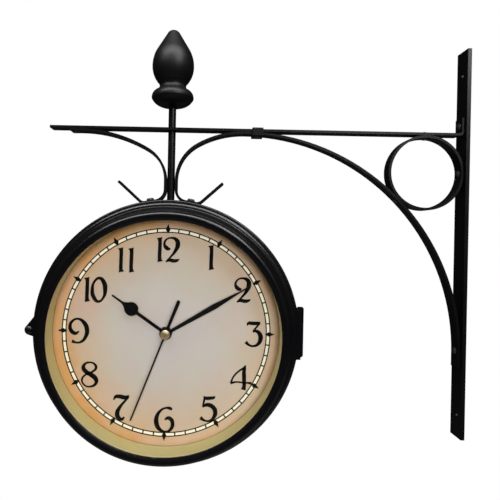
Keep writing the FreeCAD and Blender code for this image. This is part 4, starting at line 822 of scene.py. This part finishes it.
# ------------------------------------------------------------------ dial marks
@dataclass
class DialMarks:
    """The minute track, its cream filling and the twelve hour diamonds."""

    outer: float = 78.4 * MM
    inner: float = 75.6 * MM
    line: float = 0.85 * MM
    tick: float = 1.0 * MM
    thickness: float = 0.05 * MM
    filling_thickness: float = 0.03 * MM
    layer: float = 0.005 * MM
    minutes: int = 60
    hours: int = 12
    arc_steps: int = 240
    diamond_out: float = 3.6 * MM
    diamond_in: float = 1.1 * MM
    diamond_half: float = 1.75 * MM

    def ring(self, name: str, inner: float, outer: float) -> bpy.types.Object:
        """A flat ring, made from a disc whose face is inset and opened.

        Args:
            name: The object's name.
            inner: Its inner radius.
            outer: Its outer radius.

        Returns:
            The ring's mesh in the dial's own frame.
        """
        bpy.ops.mesh.primitive_circle_add(vertices=self.arc_steps, radius=outer, fill_type="NGON")
        disc = bpy.context.object
        disc.name = name
        with editing(disc):
            bpy.ops.mesh.select_all(action="SELECT")
            bpy.ops.mesh.inset(thickness=outer - inner, use_even_offset=False)
            bpy.ops.mesh.delete(type="FACE")
        return disc

    def bar(self) -> bpy.types.Object:
        """One dark bar across the track, at twelve o'clock.

        Returns:
            The bar's flat mesh.
        """
        middle = (0.0, (self.outer + self.inner) / 2, self.layer)
        bpy.ops.mesh.primitive_plane_add(size=1.0, location=middle)
        bar = bpy.context.object
        with editing(bar):
            bpy.ops.mesh.select_all(action="SELECT")
            bpy.ops.transform.resize(value=(self.tick, self.outer - self.inner, 1.0),
                                     center_override=middle)
        settle(bar)
        return bar

    def diamond(self) -> bpy.types.Object:
        """One diamond at twelve o'clock, its outer tip drawn out longer than its inner one.

        Returns:
            The diamond's flat mesh.
        """
        waist = self.outer - self.line
        bpy.ops.mesh.primitive_circle_add(vertices=4, radius=self.diamond_half, fill_type="NGON",
                                          location=(0.0, waist, 2 * self.layer))
        kite = bpy.context.object
        settle(kite)
        for sense, end in ((1, self.outer + self.diamond_out), (-1, self.inner - self.diamond_in)):
            with editing(kite):
                bpy.ops.mesh.select_mode(type="VERT")
                bpy.ops.mesh.select_all(action="DESELECT")
            tip = max(kite.data.vertices, key=lambda vertex: sense * vertex.co.y)
            tip.select = True
            reach = end - tip.co.y
            with editing(kite):
                bpy.ops.transform.translate(value=(0.0, reach, 0.0))
        return kite

    @staticmethod
    def round_dial(first: bpy.types.Object, count: int) -> list[bpy.types.Object]:
        """Copies a mark evenly round the dial, each copy with its own mesh.

        Args:
            first: The mark at twelve o'clock, which is used up.
            count: How many marks there are.

        Returns:
            The marks.
        """
        marks = []
        for step in range(count):
            mark = first.copy()
            mark.data = first.data.copy()
            bpy.context.scene.collection.objects.link(mark)
            settle(mark, Matrix.Rotation(-math.tau * step / count, 4, "Z"))
            marks.append(mark)
        bpy.data.objects.remove(first)
        return marks

    def build(self, prefix: str) -> tuple[bpy.types.Object, bpy.types.Object]:
        """Makes the dark marks and the cream filling.

        Args:
            prefix: The face's name.

        Returns:
            The dark marks and the cream filling, in the dial's own frame.
        """
        filling = self.ring(f"{prefix}_track_filling", self.inner, self.outer)
        half = self.line / 2
        outer = self.ring("outer_line", self.outer - half, self.outer + half)
        inner = self.ring("inner_line", self.inner - half, self.inner + half)
        marks = self.round_dial(self.bar(), self.minutes)
        marks += self.round_dial(self.diamond(), self.hours)
        dark = join([outer, inner] + marks, f"{prefix}_track_marks")
        thicken(filling, self.filling_thickness)
        thicken(dark, self.thickness)
        return dark, filling


# ------------------------------------------------------------------ sub-assemblies
@dataclass
class Bracket:
    """The strip bracket, its rivets, the rod and the finial."""

    wearers: dict[str, tuple[str, ...]] = field(default_factory=lambda: {
        "strip": ("wall_bar", "top_arm", "brace", "outer_scroll", "corner_ring", "arm_collar",
                  "hanger_rod"),
        "rivet": ("bracket_rivets", "foot_screws"), "steel": ("rod_nut", "foot_nuts"),
        "finial": ("finial",)})

    def dress(self, nodes: dict, finishes: dict[str, bpy.types.Material]) -> None:
        """Gives the bracket's nodes their finishes.

        Args:
            nodes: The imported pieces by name.
            finishes: The materials by short name.
        """
        for finish, names in self.wearers.items():
            for name in names:
                dress(nodes[name], finishes[finish])


@dataclass(frozen=True)
class Corner:
    """A point of a turned profile, and the arc that leads from it to the next point."""

    radius: float
    depth: float
    arc: float = 0.0
    bulge: int = 1


@dataclass
class Drum:
    """The two spun half shells with their hinge and latch."""

    centre: Vector
    around: int = 256
    arc_step: float = math.radians(7.0)
    weld: float = 0.01 * MM
    soft_edge: float = 0.22 * MM
    soft_steps: int = 2
    soft_above: float = math.radians(25.0)
    smooth_below: float = math.radians(30.0)
    skin: tuple[Corner, ...] = (
        Corner(100.0, 21.5, 1.2), Corner(98.8, 22.7), Corner(97.8, 22.7, 3.2),
        Corner(95.3, 27.5), Corner(94.5, 27.5, 14.0, -1), Corner(90.3, 38.5),
        Corner(90.3, 41.6, 3.0), Corner(87.3, 44.6), Corner(83.7, 43.4), Corner(83.7, 42.2),
        Corner(89.1, 42.2), Corner(89.1, 38.5, 15.2), Corner(93.3, 28.7), Corner(94.1, 26.9),
        Corner(96.6, 21.5), Corner(98.8, 20.9))
    front_split: tuple[Corner, ...] = (Corner(98.8, 8.0), Corner(100.0, 8.0))
    rear_split: tuple[Corner, ...] = (
        Corner(98.8, -5.0), Corner(97.2, -5.0), Corner(97.2, -11.0), Corner(98.4, -11.0),
        Corner(98.4, -8.0), Corner(100.0, -8.0))
    fittings: tuple[str, ...] = ("hinge_fixed_leaf", "hinge_door_leaf", "hinge_fixed_rivets",
                                 "hinge_door_rivets", "hinge_pin", "latch_fixed_lug",
                                 "latch_door_lug")

    def profile(self, corners: Sequence[Corner]) -> list[tuple[float, float]]:
        """Divides a closed profile's arcs into short steps.

        Args:
            corners: The profile's corners in order.

        Returns:
            Its points as (radius, depth) in metres.
        """
        points = []
        for start, end in zip(corners, (*corners[1:], corners[0])):
            first = Vector((start.radius, start.depth)) * MM
            last = Vector((end.radius, end.depth)) * MM
            points.append(tuple(first))
            if not start.arc:
                continue
            chord = last - first
            radius = start.arc * MM
            rise = math.sqrt(radius ** 2 - (chord.length / 2) ** 2)
            left = Vector((-chord.y, chord.x)).normalized() * start.bulge
            middle = (first + last) / 2 + left * rise
            turn = (first - middle).angle_signed(last - middle)
            steps = max(2, math.ceil(abs(turn) / self.arc_step))
            for step in range(1, steps):
                angle = -turn * step / steps
                spoke = Matrix.Rotation(angle, 2) @ (first - middle)
                points.append(tuple(middle + spoke))
        return points

    def spin(self, name: str, side: Side, corners: Sequence[Corner]) -> bpy.types.Object:
        """Raises one half shell from a ring that is drawn out along its profile.

        Args:
            name: The piece's name.
            side: The face that the half belongs to.
            corners: The profile's corners, depth counted outward from the middle plane.

        Returns:
            The closed shell.
        """
        points = self.profile(corners)
        radius, depth = points[0]
        start = self.centre + Vector((0.0, side.outward * depth, 0.0))
        bpy.ops.mesh.primitive_circle_add(vertices=self.around, radius=radius, location=start,
                                          rotation=(math.pi / 2, 0.0, 0.0))
        shell = bpy.context.object
        shell.name = shell.data.name = name
        with editing(shell):
            bpy.ops.mesh.select_all(action="SELECT")
            for reach, level in points[1:] + points[:1]:
                bpy.ops.mesh.extrude_region_move(TRANSFORM_OT_translate={
                    "value": (0.0, side.outward * (level - depth), 0.0)})
                bpy.ops.transform.resize(value=(reach / radius, 1.0, reach / radius),
                                         center_override=tuple(self.centre))
                radius, depth = reach, level
            bpy.ops.mesh.select_all(action="SELECT")
            bpy.ops.mesh.remove_doubles(threshold=self.weld)
            bpy.ops.mesh.normals_make_consistent(inside=False)
        settle(shell)
        modify(shell, "BEVEL", width=self.soft_edge, segments=self.soft_steps,
               limit_method="ANGLE", angle_limit=self.soft_above)
        bpy.ops.object.shade_smooth_by_angle(angle=self.smooth_below)
        return shell

    def build(self, finishes: dict[str, bpy.types.Material]) -> None:
        """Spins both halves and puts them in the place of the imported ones.

        Args:
            finishes: The materials by short name.
        """
        for side, split in ((Side.FRONT, self.front_split), (Side.REAR, self.rear_split)):
            half = self.spin(f"{side.prefix}_drum_half", side, self.skin + split)
            dress(half, finishes["drum"])
            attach(half, side.body)
            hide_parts(f"{side.prefix}_shell")

    def dress(self, nodes: dict, finishes: dict[str, bpy.types.Material]) -> None:
        """Gives the hinge and the latch their finishes.

        Args:
            nodes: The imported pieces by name.
            finishes: The materials by short name.
        """
        for name in self.fittings:
            dress(nodes[name], finishes["drum"])
        dress(nodes["latch_screw"], finishes["dark_steel"])


@dataclass
class Face:
    """One face: glass, cream ring, printed dial, hands and the movement behind."""

    side: Side
    centre: Vector
    numerals: DialNumerals = field(default_factory=DialNumerals)
    marks: DialMarks = field(default_factory=DialMarks)
    finish_of: dict[str, str] = field(default_factory=lambda: {
        "lens": "glass", "dial_ring": "ring", "dial": "paper", "dial_clips": "steel",
        "dial_screws": "steel", "movement_case": "moulding", "movement_cover": "moulding",
        "setting_knob": "moulding", "gasket": "rubber", "fixing_nut": "lacquer",
        "battery": "cell", "battery_contacts": "steel", "hour_pipe": "brass",
        "minute_arbor": "brass", "hour_hand": "lacquer", "second_hand": "lacquer",
        "second_cap": "brass"})

    def to_part(self) -> Matrix:
        """Finds the dial's place.

        Returns:
            The move from the dial's own frame, on its front surface, to the part's.
        """
        low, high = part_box(f"{self.side.prefix}_dial")
        surface = low.y if self.side is Side.FRONT else high.y
        stand = Matrix.Rotation(math.radians(90), 4, "X")
        about = Matrix.Rotation(0.0 if self.side is Side.FRONT else math.pi, 4, "Z")
        return Matrix.Translation((self.centre.x, surface, self.centre.z)) @ about @ stand

    def dress(self, nodes: dict, finishes: dict[str, bpy.types.Material]) -> None:
        """Gives this face's nodes their finishes.

        Args:
            nodes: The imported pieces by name.
            finishes: The materials by short name.
        """
        for part, finish in self.finish_of.items():
            dress(nodes[f"{self.side.prefix}_{part}"], finishes[finish])
        dress(nodes[f"{self.side.prefix}_minute_hand"], finishes[f"{self.side.prefix}_lance"])

    def print_dial(self, finishes: dict[str, bpy.types.Material]) -> None:
        """Prints the numerals, the track and the diamonds on the dial.

        Args:
            finishes: The materials by short name.
        """
        prefix = self.side.prefix
        numerals = self.numerals.build(f"{prefix}_numerals")
        marks, filling = self.marks.build(prefix)
        for piece, finish in ((numerals, "ink"), (marks, "ink"), (filling, "cream")):
            settle(piece, self.to_part())
            dress(piece, finishes[finish])
            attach(piece, self.side.body)


# ------------------------------------------------------------------ studio
@dataclass(frozen=True)
class Lamp:
    """A soft rectangular light: its name, place, width, height and power in watts."""

    name: str
    place: Place
    width: float
    height: float
    power: float
    mirrored: bool = True

    def build(self, aim: Vector) -> None:
        """Adds the light to the scene.

        Args:
            aim: The point that it faces.
        """
        data = bpy.data.lights.new(self.name, "AREA")
        data.shape = "RECTANGLE"
        data.size = self.width
        data.size_y = self.height
        data.energy = self.power
        lamp = bpy.data.objects.new(self.name, data)
        lamp.location = self.place
        lamp.visible_glossy = self.mirrored
        lamp.rotation_euler = (aim - Vector(self.place)).to_track_quat("-Z", "Y").to_euler()
        bpy.context.scene.collection.objects.link(lamp)


@dataclass
class Studio:
    """Soft lights, the photograph's camera and plain white all round it."""

    eye: Vector = field(default_factory=lambda: Vector((-207.5, -365.2, 0.8)) * MM)
    focal_px: float = 457.3
    level_px: tuple[float, float] = (203.1, 238.0)
    roll: float = 0.0201
    sensor_mm: float = 36.0
    view_range: tuple[float, float] = (0.01, 100.0)
    floor_side: float = 16.0
    floor_drop: float = 0.9
    floor_greys: tuple[Colour, Colour] = ((0.22, 0.22, 0.22), (0.25, 0.25, 0.25))
    clouds_per_metre: float = 2.0
    dim: float = 0.02
    lamps: tuple[Lamp, ...] = (
        Lamp("key", (0.34, -0.95, 0.62), 0.4, 0.4, 5.0),
        Lamp("top", (-0.23, -0.50, 0.90), 1.7, 0.36, 19.0),
        Lamp("front", (-0.14, -1.25, 0.14), 0.45, 0.45, 14.0, mirrored=False),
        Lamp("back", (-0.30, 1.2, 0.8), 0.8, 0.8, 9.0, mirrored=False))

    def add_camera(self) -> None:
        """Adds the camera: level, looking along +Y, rolled and shifted as the photograph is."""
        data = bpy.data.cameras.new("camera")
        data.sensor_width = self.sensor_mm
        data.lens = self.focal_px / PHOTO_SIDE * self.sensor_mm
        data.shift_x = (PHOTO_SIDE / 2 - self.level_px[0]) / PHOTO_SIDE
        data.shift_y = (self.level_px[1] - PHOTO_SIDE / 2) / PHOTO_SIDE
        data.clip_start, data.clip_end = self.view_range
        camera = bpy.data.objects.new("camera", data)
        camera.location = self.eye
        camera.rotation_euler = (math.pi / 2, -self.roll, 0.0)
        bpy.context.scene.collection.objects.link(camera)
        bpy.context.scene.camera = camera

    def add_floor(self, low: float) -> None:
        """Adds the floor far below: white to the camera, and grey in the light that it returns.

        Args:
            low: The lowest point of the part.
        """
        bpy.ops.mesh.primitive_plane_add(size=self.floor_side,
                                         location=(0.0, 0.0, low - self.floor_drop))
        floor = bpy.context.object
        floor.name = "floor"
        graph = material("pale_floor")
        shade = graph.mix(graph.noise(self.clouds_per_metre), *self.floor_greys)
        matt = graph.node("ShaderNodeBsdfDiffuse", {}, {"Color": shade})
        glow = graph.node("ShaderNodeEmission", {}, {"Color": WHITE, "Strength": 1.0})
        graph.close(graph.unless_seen(matt, glow))
        dress(floor, graph.owner)
        floor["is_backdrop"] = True

    def add_world(self) -> None:
        """Adds the surroundings: white to the camera, and nearly black in what gloss mirrors."""
        world = bpy.data.worlds.new("studio")
        graph = Graph(world)
        dim, white = (graph.node("ShaderNodeBackground", {}, {"Color": WHITE, "Strength": power})
                      for power in (self.dim, 1.0))
        graph.close(graph.unless_seen(dim, white), "ShaderNodeOutputWorld")
        bpy.context.scene.world = world

    def build(self, aim: Vector, low: float) -> None:
        """Sets up the whole studio round the part.

        Args:
            aim: The clock's middle.
            low: The lowest point of the part.
        """
        view = bpy.context.scene.view_settings
        view.view_transform, view.look = "Standard", "None"
        self.add_camera()
        self.add_floor(low)
        self.add_world()
        for lamp in self.lamps:
            lamp.build(aim)
        log.info("studio: camera, floor and %d lights", len(self.lamps))


def all_finishes(centre: Vector, sight: float) -> dict[str, bpy.types.Material]:
    """Makes every finish once.

    Args:
        centre: A point on the clock's axis.
        sight: The radius of the dial's glass.

    Returns:
        The materials by short name.
    """
    ring_low, ring_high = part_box("front_dial_ring")
    dial_low, dial_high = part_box("front_dial")
    makers = {
        "strip": StripPaint(), "finial": StripPaint("finial_paint", roughness=0.36),
        # painted highlight: the rivet heads and foot screws are a lighter grey than the black
        # strips so that they show glints; their lower roughness is real gloss
        "rivet": StripPaint("rivet_glint_paint", linear(38, 38, 40), 0.14),
        "drum": DrumPaint(centre),
        "paper": DialPrint(centre, sight, -dial_high.y, dial_high.y - dial_low.y),
        "ring": RingEnamel(-ring_high.y, ring_high.y - ring_low.y),
        "ink": Ink("dial_ink", linear(8, 8, 9)),
        "cream": Ink("track_cream", linear(240, 234, 212), 0.1), "lacquer": Lacquer(),
        "front_lance": Lacquer("front_lance_lacquer", centre=centre, creased=True),
        "rear_lance": Lacquer("rear_lance_lacquer", centre=centre, creased=True,
                              turn=-Lacquer.turn),
        "steel": Metal("plain_steel", linear(176, 176, 174), 0.3),
        "dark_steel": Metal("dark_steel", linear(84, 84, 86), 0.3),
        "brass": Metal("cap_brass", linear(246, 230, 190), 0.42),
        "moulding": Moulding("black_moulding", linear(30, 30, 31)),
        "rubber": Moulding("gasket_rubber", linear(24, 24, 24), 0.7),
        "cell": Moulding("cell_jacket", linear(120, 124, 128), 0.3), "glass": ClearGlass()}
    return {name: maker.build() for name, maker in makers.items()}


def as_lists(bounds: Iterable[Vector]) -> list[list[float]]:
    """Bounds as plain lists of numbers."""
    return [list(corner) for corner in bounds]


def main() -> None:
    """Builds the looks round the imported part."""
    logging.basicConfig(level=logging.INFO, format="%(name)s: %(message)s")
    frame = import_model()
    cad_bounds = as_lists(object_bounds())
    nodes = frame["nodes"]
    low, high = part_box("front_dial")
    centre = Vector(((low.x + high.x) / 2, 0.0, (low.z + high.z) / 2))
    lens_low, lens_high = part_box("front_lens")
    Studio().build(centre, cad_bounds[0][2])
    finishes = all_finishes(centre, (lens_high.x - lens_low.x) / 2)
    Bracket().dress(nodes, finishes)
    drum = Drum(centre)
    drum.dress(nodes, finishes)
    drum.build(finishes)
    for side in Side:
        face = Face(side, centre)
        face.dress(nodes, finishes)
        face.print_dial(finishes)


if __name__ == "__main__":
    main()
